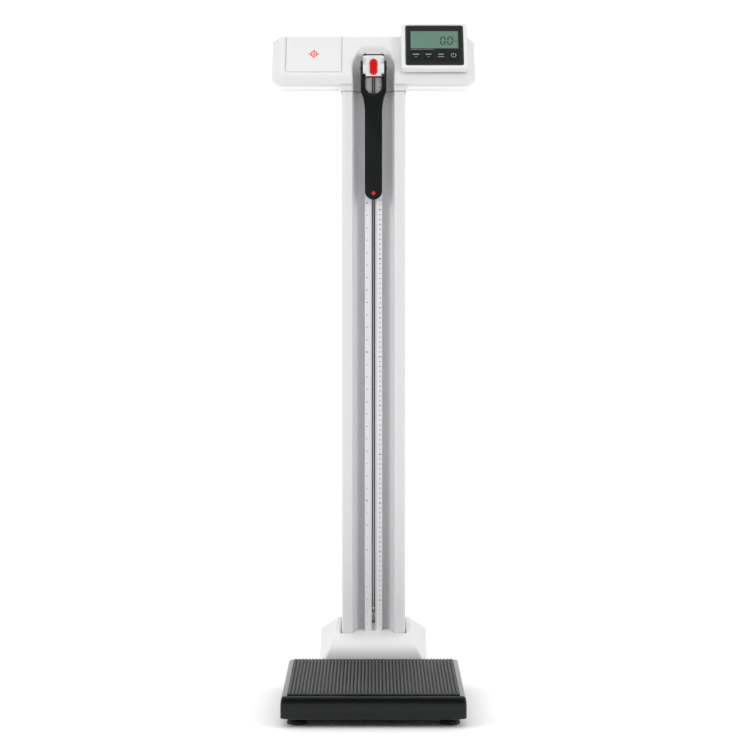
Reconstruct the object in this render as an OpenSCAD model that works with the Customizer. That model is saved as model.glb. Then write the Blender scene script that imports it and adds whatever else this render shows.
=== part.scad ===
// Digital column scale with a height rod: platform, column, T-shaped head, display box,
// telescopic measuring rod with a sliding carriage and a fold-out head flap.
// X right, +Y to the back, Z up. Origin on the floor under the middle of the outline.

/* [Platform] */
// Width of the weighing platform
platform_w = 342; // [290:1:420]
// Depth of the weighing platform, front to back
platform_d = 350; // [290:1:425]
// Height of the mat above the floor
platform_h = 62; // [54:1:76]
// Wall of the platform shell
shell_wall = 3; // [2:0.5:4]
// Pitch of the ribs on the mat
rib_pitch = 6.75; // [5:0.25:10]

/* [Feet and castors] */
// Radius of a levelling foot pad
foot_r = 18.5; // [14:0.5:22]
// Radius of a castor wheel
castor_r = 17; // [14:0.5:17]
// Width of a castor wheel
castor_w = 18; // [14:1:22]

/* [Column] */
// Height of the top of the column above the floor
column_h = 1213; // [1000:1:1460]
// Width of the column
column_w = 131; // [118:1:158]
// Depth of the column
column_d = 90; // [76:1:108]
// Wall of the extruded column
column_wall = 2.5; // [2:0.25:2.75]

/* [Head] */
// Width of the T-shaped head
head_w = 414; // [404:1:500]
// Lean of the head's front face from the vertical, in degrees
head_lean = 33; // [28:1:36]
// Wall of the head shells
head_wall = 2.5; // [2:0.25:2.75]

/* [Display] */
// Width of the display box
display_w = 136; // [116:1:150]
// Length of the display box up the slope
display_l = 118.4; // [112:0.4:140]

/* [Height rod] */
// Length of the head flap from its pivot to its tip
flap_l = 265; // [220:1:318]
// Radius of the rounded tip of the head flap
flap_r = 17.5; // [15:0.5:20]
// Width of the outer rail
rail_w = 36; // [34:0.5:36.5]

/* [Hidden] */
$fn = 48;
big = 1000;
fit = 0.05;
gap = 0.4;

// Rows from front to back: platform, column, and the castors that end the outline
column_gap = 76;
castor_gap = 2;
tail_d = column_gap + column_d + castor_gap + 2 * castor_r;
front_y = -(platform_d + tail_d) / 2;
plat_back = front_y + platform_d;
column_y = plat_back + column_gap;
column_back = column_y + column_d;
castor_y = column_back + castor_gap + castor_r;
bracket_y = castor_y - 19;

// Levels of the base
tray_z = 14;
tray_t = 3;
tray_top = tray_z + tray_t;
skirt_z = 17.5;
shell_top = platform_h - 3.5;
edge = 7;
plate_t = 3;
plate_z = shell_top - shell_wall - plate_t;
column_z = tray_top + 4;
stud_r = 4;
axle_r = 4;
castor_x = 45;
castor_z = castor_r + 4;

// Sections of the column and its channel
corner_r = 9;
lip_r = 3;
channel_half = column_w / 2 - 23;
channel_flat = 19;
channel_d = 30;
floor_y = column_y + channel_d;

// Rail, rod and carriage
rail_front = floor_y - 17;
rail_z = 70;
rail_top = column_h + 60.2;
rail_side = rail_w / 2;
slot_half = 3.5;
slot_z = 116;
bore_half = rail_side - 3.5;
bore_y0 = rail_front + 2;
bore_y1 = floor_y - 3;
rod_z = 120;
rod_half = bore_half - 0.3;
read_z = column_h + 17;
pivot_y = column_y - 6;
pivot_z = column_h + 34.5;
sleeve_half = rail_side + 3.3;
pad_half = 15.8;
pad_front = column_y - 16;
pad_back = rail_front - 0.7;
pad_top = rail_top - 0.2;
button_z = column_h + 37;
lever_y = column_y;
lever_z = column_h + 32;
prong_in = sleeve_half + gap;
prong_out = prong_in + 4.6;

// Head
head_z = column_h - 2;
head_top = column_h + 106;
head_back_y = column_back + 10;
split_y = column_back - 25;
nose_r = 18;
nose_y = column_y + 6.2;
nose_z = column_h + 13.2;
edge_r = 6;
end_x = head_w / 2 - 17;
end_inset = 12;
slope_y = nose_y - nose_r * cos(head_lean);
slope_z = nose_z + nose_r * sin(head_lean);
crest_z = head_top - edge_r;
crest_y = slope_y + (edge_r + (crest_z - slope_z) * sin(head_lean)) / cos(head_lean);
lid_x0 = -(head_w / 2 - 29);
lid_x1 = -65;
lid_s = 5.75;
frame_y = split_y + 1;

// Display, measured along the head's slope from the top of the nose
display_x = head_w / 2 - 83;
display_s = 0.75;
box_split = 5;
box_top = 17;
box_lift = 0.3;
panel_w = display_w - 18;
panel_s = display_s + 8.5;
panel_l = display_l - 14.7;
panel_t = 1.2;
lcd_w = panel_w - 21.3;
lcd_s = panel_s + 43.9;
lcd_l = panel_l - 58.7;
key_pitch = panel_w * 0.2153;
key_w = key_pitch - 5.4;
key_s = panel_s + 12.5;
key_l = 24.6;

function arc(cx, cy, rx, ry, a0, a1, n = 8) =
    [for (i = [0:n]) let (a = a0 + (a1 - a0) * i / n) [cx + rx * cos(a), cy + ry * sin(a)]];
function mirrored(p) = concat(p, [for (i = [len(p) - 1:-1:0]) [-p[i][0], p[i][1]]]);
function round_rect(x0, x1, y0, y1, r, n = 5) = concat(
    arc(x1 - r, y0 + r, r, r, -90, 0, n), arc(x1 - r, y1 - r, r, r, 0, 90, n),
    arc(x0 + r, y1 - r, r, r, 90, 180, n), arc(x0 + r, y0 + r, r, r, 180, 270, n));

// Outline of the column, shrunk by g on every side
function column_half(g) = concat(
    arc(channel_flat, column_y, channel_half - channel_flat + g, channel_d + g, 90,
        asin(lip_r / (channel_d + g)), 12),
    arc(channel_half + lip_r, column_y + lip_r, lip_r - g, lip_r - g, 180, 270, 4),
    arc(column_w / 2 - corner_r, column_y + corner_r, corner_r - g, corner_r - g, 270, 360, 8),
    arc(column_w / 2 - corner_r, column_back - corner_r, corner_r - g, corner_r - g, 0, 90, 6));

// The channel and everything in front of it, grown by g
function channel_cut(g) = mirrored(concat(
    arc(channel_flat, column_y, channel_half - channel_flat + g, channel_d + g, 90, 0, 12),
    [[channel_half + g, column_y - 60]]));

// Side outline of the head in Y and Z, shrunk by g
function head_profile(g) = concat(
    arc(nose_y, nose_z, nose_r - g, nose_r - g,
        180 + asin((nose_z - head_z - g) / (nose_r - g)), 180 - head_lean, 8),
    arc(crest_y, crest_z, edge_r - g, edge_r - g, 180 - head_lean, 90, 4),
    arc(head_back_y - edge_r, crest_z, edge_r - g, edge_r - g, 90, 0, 4),
    arc(head_back_y - 3, head_z + 3, 3 - g, 3 - g, 0, -90, 3));

// Lower outline of the base cover across its width: half widths and heights of its corners
cover_front = column_y - 74;
cover_rear = column_back + 10;
cover_z = 12;
cover_lift = platform_h - 62;
mount_bolt_x = column_w / 2 + 5.5;
rear_foot_x = mount_bolt_x + 17;
rear_half = rear_foot_x + 18;
function cover_section(side, top, shoulder_x, shoulder_z, g) = mirrored([
    [side + 2 - g, cover_z - big * (g > 0 ? 0.02 : 0)],
    [side - g, 38 - g * 0.3],
    [shoulder_x - g, shoulder_z + cover_lift - g * 0.4],
    [column_w / 2 + top[0] - g * 0.7, top[1] + cover_lift - g]]);

module box(x0, x1, y0, y1, z0, z1) {
    translate([x0, y0, z0]) cube([x1 - x0, y1 - y0, z1 - z0]);
}
// Extrudes a shape drawn in Y and Z from x0 to x1
module along_x(x0, x1) {
    translate([x0, 0, 0]) rotate([90, 0, 90]) linear_extrude(x1 - x0) children();
}
// Extrudes a shape drawn in X and Z from y0 to y1
module along_y(y0, y1) {
    translate([0, y1, 0]) rotate([90, 0, 0]) linear_extrude(y1 - y0) children();
}
module rod_x(x0, x1, y, z, r) {
    translate([x0, y, z]) rotate([0, 90, 0]) cylinder(h = x1 - x0, r = r);
}
module rod_y(x, y0, y1, z, r) {
    translate([x, y0, z]) rotate([-90, 0, 0]) cylinder(h = y1 - y0, r = r);
}
module post(x, y, z0, z1, r) {
    translate([x, y, z0]) cylinder(h = z1 - z0, r = r);
}
module stadium(w, l, z) {
    square_l = l - w;
    translate([-w / 2, z - square_l / 2]) square([w, square_l]);
    for (end = [-1, 1]) translate([0, z + end * square_l / 2]) circle(r = w / 2);
}
// Local frame on the head's sloping face: X across, Y up the slope, Z out of the face
module on_slope(x) {
    translate([x, slope_y, slope_z]) rotate([90 - head_lean, 0, 0]) children();
}
// Notch for the sensor cable through a wall near y
module cable_notch(y) {
    box(-5, 5, y - 8, y + 8, 0, tray_top + 10);
}
module cable_run(points, r) {
    for (i = [0:len(points) - 2]) {
        step = points[i + 1] - points[i];
        translate(points[i]) rotate([0, acos(step[2] / norm(step)), atan2(step[1], step[0])])
            cylinder(h = norm(step), r = r, $fn = 20);
        if (i < len(points) - 2) translate(points[i + 1]) sphere(r = r * 1.2, $fn = 20);
    }
}

// ---- Base ----
foot_x = [platform_w / 2 - 29, rear_foot_x];
foot_y = [front_y + 44, column_back - 25];
FEET = [[-foot_x[0], foot_y[0]], [foot_x[0], foot_y[0]], [-foot_x[1], foot_y[1]], [foot_x[1], foot_y[1]]];
cell_x = platform_w / 2 - 56;
CELLS = [for (sx = [-1, 1], y = [front_y + 16, plat_back - 71]) [sx * cell_x, y]];
MOUNT_BOLTS = [for (sx = [-1, 1], y = [column_y + 12, column_back - 30]) [sx * mount_bolt_x, y]];

module chassis() {
    half = platform_w / 2 - 12;
    color("silver") difference() {
        union() {
            box(-half, half, front_y + 11, plat_back - 11, tray_z, tray_top);
            box(-rear_half, rear_half, plat_back - 11, bracket_y, tray_z, tray_top);
            for (sx = [-1, 1]) {
                box(sx * (half - 1.5) - 1.5, sx * (half - 1.5) + 1.5,
                    front_y + 11, plat_back - 11, tray_top, tray_top + 9);
                box(sx * 60 - 1.5, sx * 60 + 1.5, front_y + 90, plat_back - 80, tray_top, tray_top + 12);
            }
            for (p = FEET) post(p[0], p[1], tray_top, tray_top + 8, 9);
        }
        for (p = FEET) post(p[0], p[1], 0, 40, stud_r + fit);
        for (p = MOUNT_BOLTS) post(p[0], p[1], 0, 40, 3 + fit);
    }
}
module platform_plate() {
    half = platform_w / 2 - 14;
    color("silver") difference() {
        union() {
            box(-half, half, front_y + 14, plat_back - 14, plate_z, plate_z + plate_t);
            for (sx = [-1, 1]) box(sx * (half - 1.5) - 1.5, sx * (half - 1.5) + 1.5,
                front_y + 14, plat_back - 14, plate_z - 9, plate_z);
        }
        for (p = CELLS) post(p[0], p[1] + 45, plate_z - 1, plate_z + 4, 3 + fit);
    }
}
module shell_form(g, z0) {
    hull() for (sx = [-1, 1], y = [front_y + edge, plat_back - edge]) {
        translate([sx * (platform_w / 2 - edge), y, z0]) cylinder(h = 1, r = edge - g, $fn = 32);
        translate([sx * (platform_w / 2 - edge), y, shell_top - edge]) rotate_extrude($fn = 32)
            intersection() {
                circle(r = edge - g, $fn = 32);
                square(edge);
            }
    }
}
module platform_shell() {
    color([0.09, 0.1, 0.1]) difference() {
        shell_form(0, skirt_z);
        shell_form(shell_wall, skirt_z - 5);
        cable_notch(plat_back);
    }
}
module tread_mat() {
    half = platform_w / 2 - 12;
    count = floor((2 * half - 6) / rib_pitch);
    start = -(count * rib_pitch) / 2;
    foot_w = rib_pitch * 0.34;
    tip_w = rib_pitch * 0.22;
    base_z = shell_top + 1.2;
    teeth = [for (i = [0:count], p = [[-foot_w, base_z], [-tip_w, platform_h],
        [tip_w, platform_h], [foot_w, base_z]]) [start + i * rib_pitch + p[0], p[1]]];
    color([0.13, 0.14, 0.14]) along_y(front_y + 11, plat_back - 11)
        polygon(concat([[-half, shell_top], [-half, base_z]], teeth, [[half, base_z], [half, shell_top]]));
}
module load_cells() {
    color("gainsboro") for (p = CELLS) difference() {
        union() {
            box(p[0] - 12.5, p[0] + 12.5, p[1], p[1] + 55, tray_top + 4, tray_top + 16);
            box(p[0] - 12.5, p[0] + 12.5, p[1], p[1] + 18, tray_top, tray_top + 4);
            box(p[0] - 12.5, p[0] + 12.5, p[1] + 37, p[1] + 55, tray_top + 16, plate_z);
        }
        for (y = [21.5, 33.5]) rod_x(p[0] - 20, p[0] + 20, p[1] + y, tray_top + 10, 4);
        box(p[0] - 20, p[0] + 20, p[1] + 21.5, p[1] + 33.5, tray_top + 8.5, tray_top + 11.5);
        post(p[0], p[1] + 45, tray_top + 4, plate_z + 1, 2.5);
    }
}
module summing_board() {
    color("seagreen") {
        box(-35, 35, plat_back - 160, plat_back - 110, tray_top + 5, tray_top + 6.6);
        for (sx = [-30, 30], y = [-155, -115]) post(sx, plat_back + y, tray_top, tray_top + 5, 3);
    }
    color("black") {
        box(-12, 12, plat_back - 145, plat_back - 125, tray_top + 6.6, tray_top + 9);
        box(18, 28, plat_back - 140, plat_back - 120, tray_top + 6.6, tray_top + 11);
    }
}
module foot_pad(i) {
    color([0.15, 0.15, 0.15]) translate([FEET[i][0], FEET[i][1], 0]) difference() {
        union() {
            cylinder(h = 4, r = foot_r);
            translate([0, 0, 4]) cylinder(h = 4, r1 = foot_r, r2 = foot_r - 5);
        }
        translate([0, 0, 4]) cylinder(h = 5, r = stud_r + fit);
    }
}
module foot_screw(i) {
    color("silver") translate([FEET[i][0], FEET[i][1], 0]) {
        translate([0, 0, 4]) cylinder(h = tray_top + 5, r = stud_r);
        translate([0, 0, 8]) cylinder(h = 5, r = 7.5, $fn = 6);
    }
}
module castor_bracket() {
    color("silver") difference() {
        union() {
            box(-62, 62, bracket_y - 28, bracket_y + 1, tray_z - 3, tray_z);
            for (x = [castor_x - castor_w / 2 - 2.3, castor_x + castor_w / 2 + 2.3], side = [-1, 1])
                box(side * x - 1.5, side * x + 1.5, bracket_y + 0.2, castor_y + 8,
                    tray_z - 3, castor_z + 10);
        }
        rod_x(-90, 90, castor_y, castor_z, axle_r);
    }
}
module castor_axle() {
    half = castor_x + castor_w / 2 + 3.8;
    color("silver") {
        rod_x(-half - 1, half + 1, castor_y, castor_z, axle_r);
        for (side = [-1, 1]) rod_x(side * (half + 1) - 1, side * (half + 1) + 1,
            castor_y, castor_z, axle_r + 2);
    }
}
module castor(side) {
    color([0.2, 0.2, 0.2]) translate([side * castor_x, castor_y, castor_z]) rotate([0, 90, 0])
        difference() {
            union() {
                cylinder(h = castor_w - 4, r = castor_r, center = true);
                cylinder(h = castor_w, r = castor_r - 3, center = true);
            }
            cylinder(h = castor_w + 2, r = axle_r + fit, center = true);
            for (end = [-1, 1]) translate([0, 0, end * castor_w / 2]) difference() {
                cylinder(h = 8, r = castor_r - 6, center = true);
                cylinder(h = 9, r = axle_r + 3, center = true);
            }
        }
}
COLUMN_BOLTS = [for (y = [column_y + 34, column_back - 26], z = [45, 80]) [y, z]];
module column_mount() {
    side_in = column_w / 2 - column_wall - 4;
    color("gray") difference() {
        union() {
            box(-mount_bolt_x - 6, mount_bolt_x + 6, column_y - 4, column_back - 10, tray_top, column_z);
            for (sx = [-1, 1]) box(sx * (side_in + 2) - 2, sx * (side_in + 2) + 2,
                column_y + 15, column_back - 15, column_z, 110);
        }
        for (p = MOUNT_BOLTS) post(p[0], p[1], 0, 40, 3 + fit);
        for (p = COLUMN_BOLTS) rod_x(-90, 90, p[0], p[1], 3 + fit);
    }
}
module column_bolts() {
    color("silver") {
        for (p = COLUMN_BOLTS, sx = [-1, 1]) mirror([sx < 0 ? 1 : 0, 0, 0]) {
            rod_x(column_w / 2 - 13, column_w / 2, p[0], p[1], 3);
            difference() {
                rod_x(column_w / 2, column_w / 2 + 4, p[0], p[1], 5);
                rod_x(column_w / 2 + 2, column_w / 2 + 5, p[0], p[1], 2.5);
            }
        }
        for (p = MOUNT_BOLTS) {
            post(p[0], p[1], tray_z - 2, column_z, 3);
            post(p[0], p[1], column_z, column_z + 4, 4.8);
        }
    }
}

// Side outline of the base cover: rising roof, quarter-round nose
function cover_side(g) = concat(
    [[cover_rear - g, -big / 50], [cover_rear - g, 113 + cover_lift - g],
     [column_y - 10, 95.5 + cover_lift - g]],
    arc(column_y - 10, 40 + cover_lift, column_y - 10 - cover_front - g, 55.5 - g, 90, 180, 12),
    [[cover_front + g, -big / 50]]);
module cover_form(g) {
    intersection() {
        along_x(-big / 2, big / 2) polygon(cover_side(g));
        hull() {
            along_y(cover_rear - 0.1, cover_rear)
                polygon(cover_section(rear_half + 6, [4, 116], rear_half + 4, 88, g));
            along_y(cover_front, cover_front + 0.1)
                polygon(cover_section(rear_half + 3, [8.5, 98], rear_half - 5.5, 47, g));
        }
    }
}
module base_cover() {
    posts = [for (sx = [-1, 1], y = [column_y - 30, column_back - 50]) [sx * (rear_half - 7), y]];
    color("white") difference() {
        intersection() {
            union() {
                difference() {
                    cover_form(0);
                    cover_form(3);
                }
                for (p = posts) box(p[0] - 4, p[0] + 4, p[1] - 4, p[1] + 4, tray_top, 80);
            }
            cover_form(0);
            box(-big, big, -big, big, cover_z, big);
        }
        box(-column_w / 2 - 1.5, column_w / 2 + 1.5, column_y - 1.5, column_back + 1.5, 0, big);
        box(-rear_half - 1.5, rear_half + 1.5, cover_front - 5, cover_front + 12, 0, tray_top + 1);
        cable_notch(cover_front);
        for (side = [-1, 1]) box(side * castor_x - castor_w / 2 - 6, side * castor_x + castor_w / 2 + 6,
            column_back + 2, cover_rear + 5, 0, castor_z + castor_r + 4);
    }
}
module channel_plug() {
    color("white") intersection() {
        translate([0, 0, 60]) linear_extrude(80) difference() {
            intersection() {
                polygon(channel_cut(-0.3));
                translate([-column_w, column_y - 1.4]) square([2 * column_w, 60]);
            }
            translate([-rail_side - 0.3, rail_front - 0.5]) square([rail_w + 0.6, 60]);
        }
        along_x(-big / 2, big / 2) polygon([[0, 0], [cover_rear, 0], [cover_rear, 113 + cover_lift],
            [column_y - 10, 95.5 + cover_lift], [0, 95.5 + cover_lift]]);
    }
}

// ---- Column and rail ----
RAIL_SCREWS = [for (i = [0:4]) 200 + i * (column_h - 260) / 4];
module column() {
    color("whitesmoke") difference() {
        translate([0, 0, column_z]) linear_extrude(column_h - column_z) difference() {
            polygon(mirrored(column_half(0)));
            polygon(mirrored(column_half(column_wall)));
        }
        box(-6, 6, floor_y - 2, floor_y + 4, column_z - 1, column_z + 13);
        for (z = RAIL_SCREWS) rod_y(0, floor_y - 1, floor_y + 4, z, 2 + fit);
        for (p = COLUMN_BOLTS) rod_x(-90, 90, p[0], p[1], 3 + fit);
    }
}
cable_y = floor_y + 20;
cable_z = column_h + 12;
module sensor_cable() {
    board_y = plat_back - 109;
    well = [display_x, slope_y + 60 * sin(head_lean), slope_z + 60 * cos(head_lean)];
    out = [0, -cos(head_lean), sin(head_lean)];
    color("dimgray") cable_run([[0, board_y, tray_top + 6], [0, column_y - 12, tray_top + 6],
        [0, column_y - 6, column_z + 6], [0, cable_y, column_z + 6],
        [0, cable_y, cable_z], [display_x - 20, cable_y, cable_z],
        well - out * 14, well + out * 4.5], 2.2);
}
module rail_section() {
    difference() {
        translate([-rail_side, rail_front]) square([rail_w, floor_y - rail_front]);
        translate([-bore_half, bore_y0]) square([2 * bore_half, bore_y1 - bore_y0]);
        for (sx = [-1, 1]) translate([sx * rail_side - 1.5, rail_front + 7]) square([3, 3]);
    }
}
module rail() {
    color("silver") difference() {
        translate([0, 0, rail_z]) linear_extrude(rail_top - rail_z) rail_section();
        box(-slot_half, slot_half, rail_front - 1, bore_y0 + 1, slot_z, rail_top + 1);
        for (z = RAIL_SCREWS) {
            rod_y(0, bore_y1 - 1, floor_y + 1, z, 2 + fit);
            translate([0, bore_y1 - 0.01, z]) rotate([-90, 0, 0]) cylinder(h = 1.61, r1 = 3.65, r2 = 2 + fit);
        }
    }
}
module rail_end() {
    color([0.15, 0.15, 0.15]) box(-bore_half, bore_half, bore_y0, bore_y1, rail_z, rail_z + 12);
}
module rail_screws() {
    color("silver") for (z = RAIL_SCREWS) {
        translate([0, bore_y1 + 0.1, z]) rotate([-90, 0, 0]) cylinder(h = 1.5, r1 = 3.5, r2 = 2);
        rod_y(0, bore_y1 + 1.6, floor_y + 8, z, 2);
    }
}
module scale_foils() {
    color("ghostwhite") for (sx = [-1, 1]) box(sx * 10.75 - 6.75, sx * 10.75 + 6.75,
        rail_front - 0.3, rail_front, rail_z + 26, rail_top - 0.4);
}
module inner_rod() {
    face = bore_y0 + 0.8;
    back = bore_y1 - 0.4;
    color("lightgray") difference() {
        union() {
            box(-rod_half, rod_half, face, back, rod_z, rail_top + 0.3);
            box(-1.5, 1.5, rail_front + 0.2, face, rod_z, rail_top + 0.3);
        }
        box(-rod_half + 2.2, rod_half - 2.2, face + 2.2, back - 2.2, rod_z - 1, rail_top + 1);
        rod_y(0, rail_front - 1, face + 3, rod_z + 26, 1.25);
    }
}
module rod_scale() {
    color("ghostwhite") for (sx = [-1, 1]) box(sx * 7.5 - 5.5, sx * 7.5 + 5.5,
        bore_y0 + 0.5, bore_y0 + 0.8, rod_z + 10, rail_top);
}
module rod_stop_screw() {
    color("gray") {
        rod_y(0, rail_front - 0.1, rail_front + 0.2, rod_z + 26, 2.35);
        rod_y(0, rail_front + 0.2, bore_y0 + 3, rod_z + 26, 1.25);
    }
}
module cap_plate(z0, h) {
    translate([0, 0, z0]) linear_extrude(h)
        polygon(round_rect(-sleeve_half, sleeve_half, rail_front - 4, floor_y - 0.6, 3));
}
module rod_buffer() {
    color([0.1, 0.1, 0.1]) cap_plate(rail_top + 0.3, 4.8);
}
module rod_cap() {
    color("white") hull() {
        cap_plate(rail_top + 5.1, 1.6);
        translate([0, 0, rail_top + 5.1]) linear_extrude(3.7)
            polygon(round_rect(-sleeve_half + 9, sleeve_half - 9, rail_front, floor_y - 4, 2));
    }
}

// ---- Carriage, button, brake and flap ----
module carriage() {
    low = pivot_z - 10.8;
    high = pivot_z + 20.5;
    color("white") difference() {
        union() {
            box(-pad_half, pad_half, pad_front + 3, pad_back, read_z + 1.5, pad_top);
            along_y(pad_front, pad_front + 3.01)
                polygon(round_rect(-pad_half, pad_half, read_z + 1.5, pad_top, 4));
            along_x(-sleeve_half, sleeve_half) translate([pivot_y, pivot_z]) circle(r = 11);
            box(-sleeve_half, sleeve_half, pivot_y, pad_back, low, high);
            for (sx = [-1, 1]) {
                box(sx * (sleeve_half - 1.45) - 1.45, sx * (sleeve_half - 1.45) + 1.45,
                    pad_back - 0.1, floor_y - 4, low, high);
                box(sx * (rail_side - 0.1) - 0.9, sx * (rail_side - 0.1) + 0.9,
                    rail_front + 7.5, rail_front + 9.5, low, high);
            }
        }
        box(-10, 10, pad_front + 3, pad_back - 2.3, read_z + 2.5, column_h + 56);
        box(-7.5, 7.5, pad_back - 3, pad_back + 1, read_z + 2.5, read_z + 10.5);
        along_y(pad_front - 1, pad_front + 4) stadium(15.2, 31.8, button_z);
        rod_x(-12.5, 12.5, lever_y, lever_z, 1.5);
        for (sx = [-1, 1]) rod_x(sx * 20 - 7, sx * 20 + 7, pivot_y, pivot_z, 3);
    }
}
module reading_line() {
    color("red") box(-15.5, 15.5, pad_front + 3, pad_back, read_z, read_z + 1.5);
}
module red_button() {
    color("red") {
        hull() {
            along_y(pad_front - 3, pad_front - 2.5) stadium(11.4, 28, button_z);
            along_y(pad_front - 1.5, pad_front - 1) stadium(14.4, 31, button_z);
        }
        along_y(pad_front - 1, pad_front + 3.3) stadium(14.4, 31, button_z);
        along_y(pad_front + 3.3, pad_front + 5.2) stadium(17.4, 34, button_z);
        box(-3, 3, pad_front + 5.2, lever_y - 3, lever_z + 10, lever_z + 13);
    }
}
module button_spring() {
    color("silver") translate([0, pad_front + 5.2, lever_z + 18]) rotate([-90, 0, 0]) difference() {
        cylinder(h = pad_back - 2.3 - pad_front - 5.2, r = 3);
        translate([0, 0, -1]) cylinder(h = 40, r = 2.2);
    }
}
module brake_lever() {
    color("orange") difference() {
        union() {
            rod_x(-4, 4, lever_y, lever_z, 4.5);
            box(-4, 4, lever_y - 2.5, lever_y + 0.5, lever_z, lever_z + 13);
            box(-6, 6, lever_y, rail_front - 0.7, lever_z - 9.8, lever_z - 6);
            box(-4, 4, lever_y - 2.5, lever_y + 2.5, lever_z - 9.8, lever_z);
        }
        rod_x(-7, 7, lever_y, lever_z, 1.5 + fit);
    }
}
module lever_pin() {
    color("silver") rod_x(-12.5, 12.5, lever_y, lever_z, 1.5);
}
module flap_outline() {
    window_z = read_z - 17;
    tip_z = pivot_z - flap_l;
    arm = 26;
    difference() {
        polygon(mirrored(concat(arc(0, tip_z + flap_r, flap_r, flap_r, -90, 0, 14),
            [[flap_r, read_z - 69], [flap_r + 1, read_z - 55], [flap_r + 3.5, read_z - 41],
             [arm, read_z - 27], [arm, read_z + 6]])));
        translate([0, window_z]) circle(r = 16.2);
        translate([-16.2, window_z]) square([32.4, 60]);
    }
}
module flap() {
    front = pivot_y + 5;
    back = pivot_y + 17.5;
    color([0.12, 0.13, 0.14]) difference() {
        union() {
            along_y(front, back) flap_outline();
            for (side = [0, 1]) mirror([side, 0, 0]) along_x(prong_in, prong_out)
                hull() {
                    translate([pivot_y, pivot_z]) circle(r = 8.5);
                    translate([pivot_y + 4, pivot_z + 11.5]) circle(r = 5);
                    translate([front, read_z - 6]) square([back - front, 12]);
                }
        }
        for (sx = [-1, 1]) rod_x(sx * 24 - 4, sx * 24 + 4, pivot_y, pivot_z, 3 + fit);
    }
}
module flap_pins() {
    color("red") for (side = [0, 1]) mirror([side, 0, 0])
        rod_x(13, prong_out + 1.2, pivot_y, pivot_z, 3);
}

// ---- Head ----
module head_form(g) {
    along_x(-end_x, end_x) polygon(head_profile(g));
    for (side = [0, 1]) mirror([side, 0, 0]) hull() {
        along_x(end_x - 0.02, end_x) polygon(head_profile(g));
        along_x(head_w / 2 - g - 0.02, head_w / 2 - g) offset(delta = -end_inset) polygon(head_profile(g));
    }
}
module head_shell() {
    difference() {
        union() {
            head_form(0);
            translate([0, 0, head_z - 8]) linear_extrude(9)
                polygon(round_rect(-column_w / 2 - 2, column_w / 2 + 2, column_y - 2, column_back + 2, 10, 6));
        }
        linear_extrude(2 * big) polygon(channel_cut(0));
        difference() {
            head_form(head_wall);
            linear_extrude(2 * big) polygon(channel_cut(head_wall));
        }
        linear_extrude(head_z + head_wall) polygon(mirrored(column_half(-0.15)));
    }
}
// Block that cuts the battery lid out of the shell, grown by g
module lid_block(g) {
    intersection() {
        on_slope(0) translate([0, 0, -25]) linear_extrude(60)
            polygon(round_rect(lid_x0 - g, lid_x1 + g, lid_s - g, 200, 4 + g));
        box(-big, big, -big, split_y - 0.5 + g, 0, 2 * big);
    }
}
module head_front() {
    color("white") difference() {
        head_shell();
        box(-big, big, split_y, big, 0, 2 * big);
        lid_block(0.5);
        on_slope(display_x) translate([0, 60, -20]) cylinder(h = 40, r = 4);
    }
}
module head_back() {
    screws = [for (sx = [-1, 1], z = [head_z + 30, head_z + 80]) [sx * 140, z]];
    color("white") difference() {
        union() {
            intersection() {
                head_shell();
                box(-big, big, split_y, big, 0, 2 * big);
            }
            for (p = screws) rod_y(p[0], frame_y + 3, head_back_y - 1, p[1], 5);
        }
        for (p = screws) rod_y(p[0], frame_y, head_back_y + 5, p[1], 2 + fit);
        rod_y(100, head_back_y - 10, head_back_y + 5, head_z + 14, 5.5);
    }
}
module head_frame() {
    wall_x = column_w / 2 - column_wall;
    color("gray") difference() {
        union() {
            box(-150, 150, frame_y, frame_y + 3, head_z + 20, head_z + 90);
            for (side = [0, 1]) mirror([side, 0, 0]) along_x(wall_x - 4, wall_x)
                polygon([[column_y + 24, column_h - 60], [frame_y + 3, column_h - 60],
                    [frame_y + 3, head_z + 88], [frame_y - 16, head_z + 88],
                    [frame_y - 16, head_z + 28], [column_y + 24, head_z + 6]]);
        }
        for (sx = [-1, 1], z = [head_z + 30, head_z + 80])
            rod_y(sx * 140, frame_y - 5, frame_y + 5, z, 2 + fit);
        rod_x(wall_x - 6, wall_x + 2, cable_y, cable_z, 3);
    }
}
module head_screws() {
    color("silver") for (sx = [-1, 1], z = [head_z + 30, head_z + 80]) difference() {
        union() {
            rod_y(sx * 140, frame_y - 4, head_back_y, z, 2);
            rod_y(sx * 140, head_back_y, head_back_y + 2.2, z, 3.8);
        }
        translate([sx * 140 - 3, head_back_y + 1.2, z - 0.5]) cube([6, 3, 1]);
    }
}
module battery_lid() {
    color("white") intersection() {
        head_shell();
        lid_block(0);
    }
}
tray_x = (lid_x0 + lid_x1) / 2;
tray_s = lid_s + 13;
cell_r = 7.25;
cell_l = 50.5;
module battery_tray() {
    color([0.2, 0.2, 0.2]) on_slope(tray_x) difference() {
        translate([-55.5, tray_s, -21]) cube([111, 48, 17]);
        translate([-54, tray_s + 1.5, -19.5]) cube([53.25, 45, 30]);
        translate([0.75, tray_s + 1.5, -19.5]) cube([53.25, 45, 30]);
    }
}
module batteries() {
    color("goldenrod") on_slope(tray_x) for (side = [-1, 1], row = [0:2])
        translate([side * 27.35 - cell_l / 2, tray_s + 9 + row * 15, -19.5 + cell_r]) rotate([0, 90, 0]) {
            cylinder(h = cell_l - 1, r = cell_r);
            cylinder(h = cell_l, r = 2.7);
        }
}
module battery_contacts() {
    color("silver") on_slope(tray_x) for (side = [-1, 1], row = [0:2], end = [-1, 1])
        translate([side * 27.35 + end * 26.2, tray_s + 9 + row * 15, -19.5 + cell_r]) {
            translate([end > 0 ? 0 : -0.4, -5, -6]) cube([0.4, 10, 12]);
            translate([end > 0 ? -0.9 : 0, 0, 0]) rotate([0, 90, 0]) cylinder(h = 0.9, r = 2);
        }
}
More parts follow.
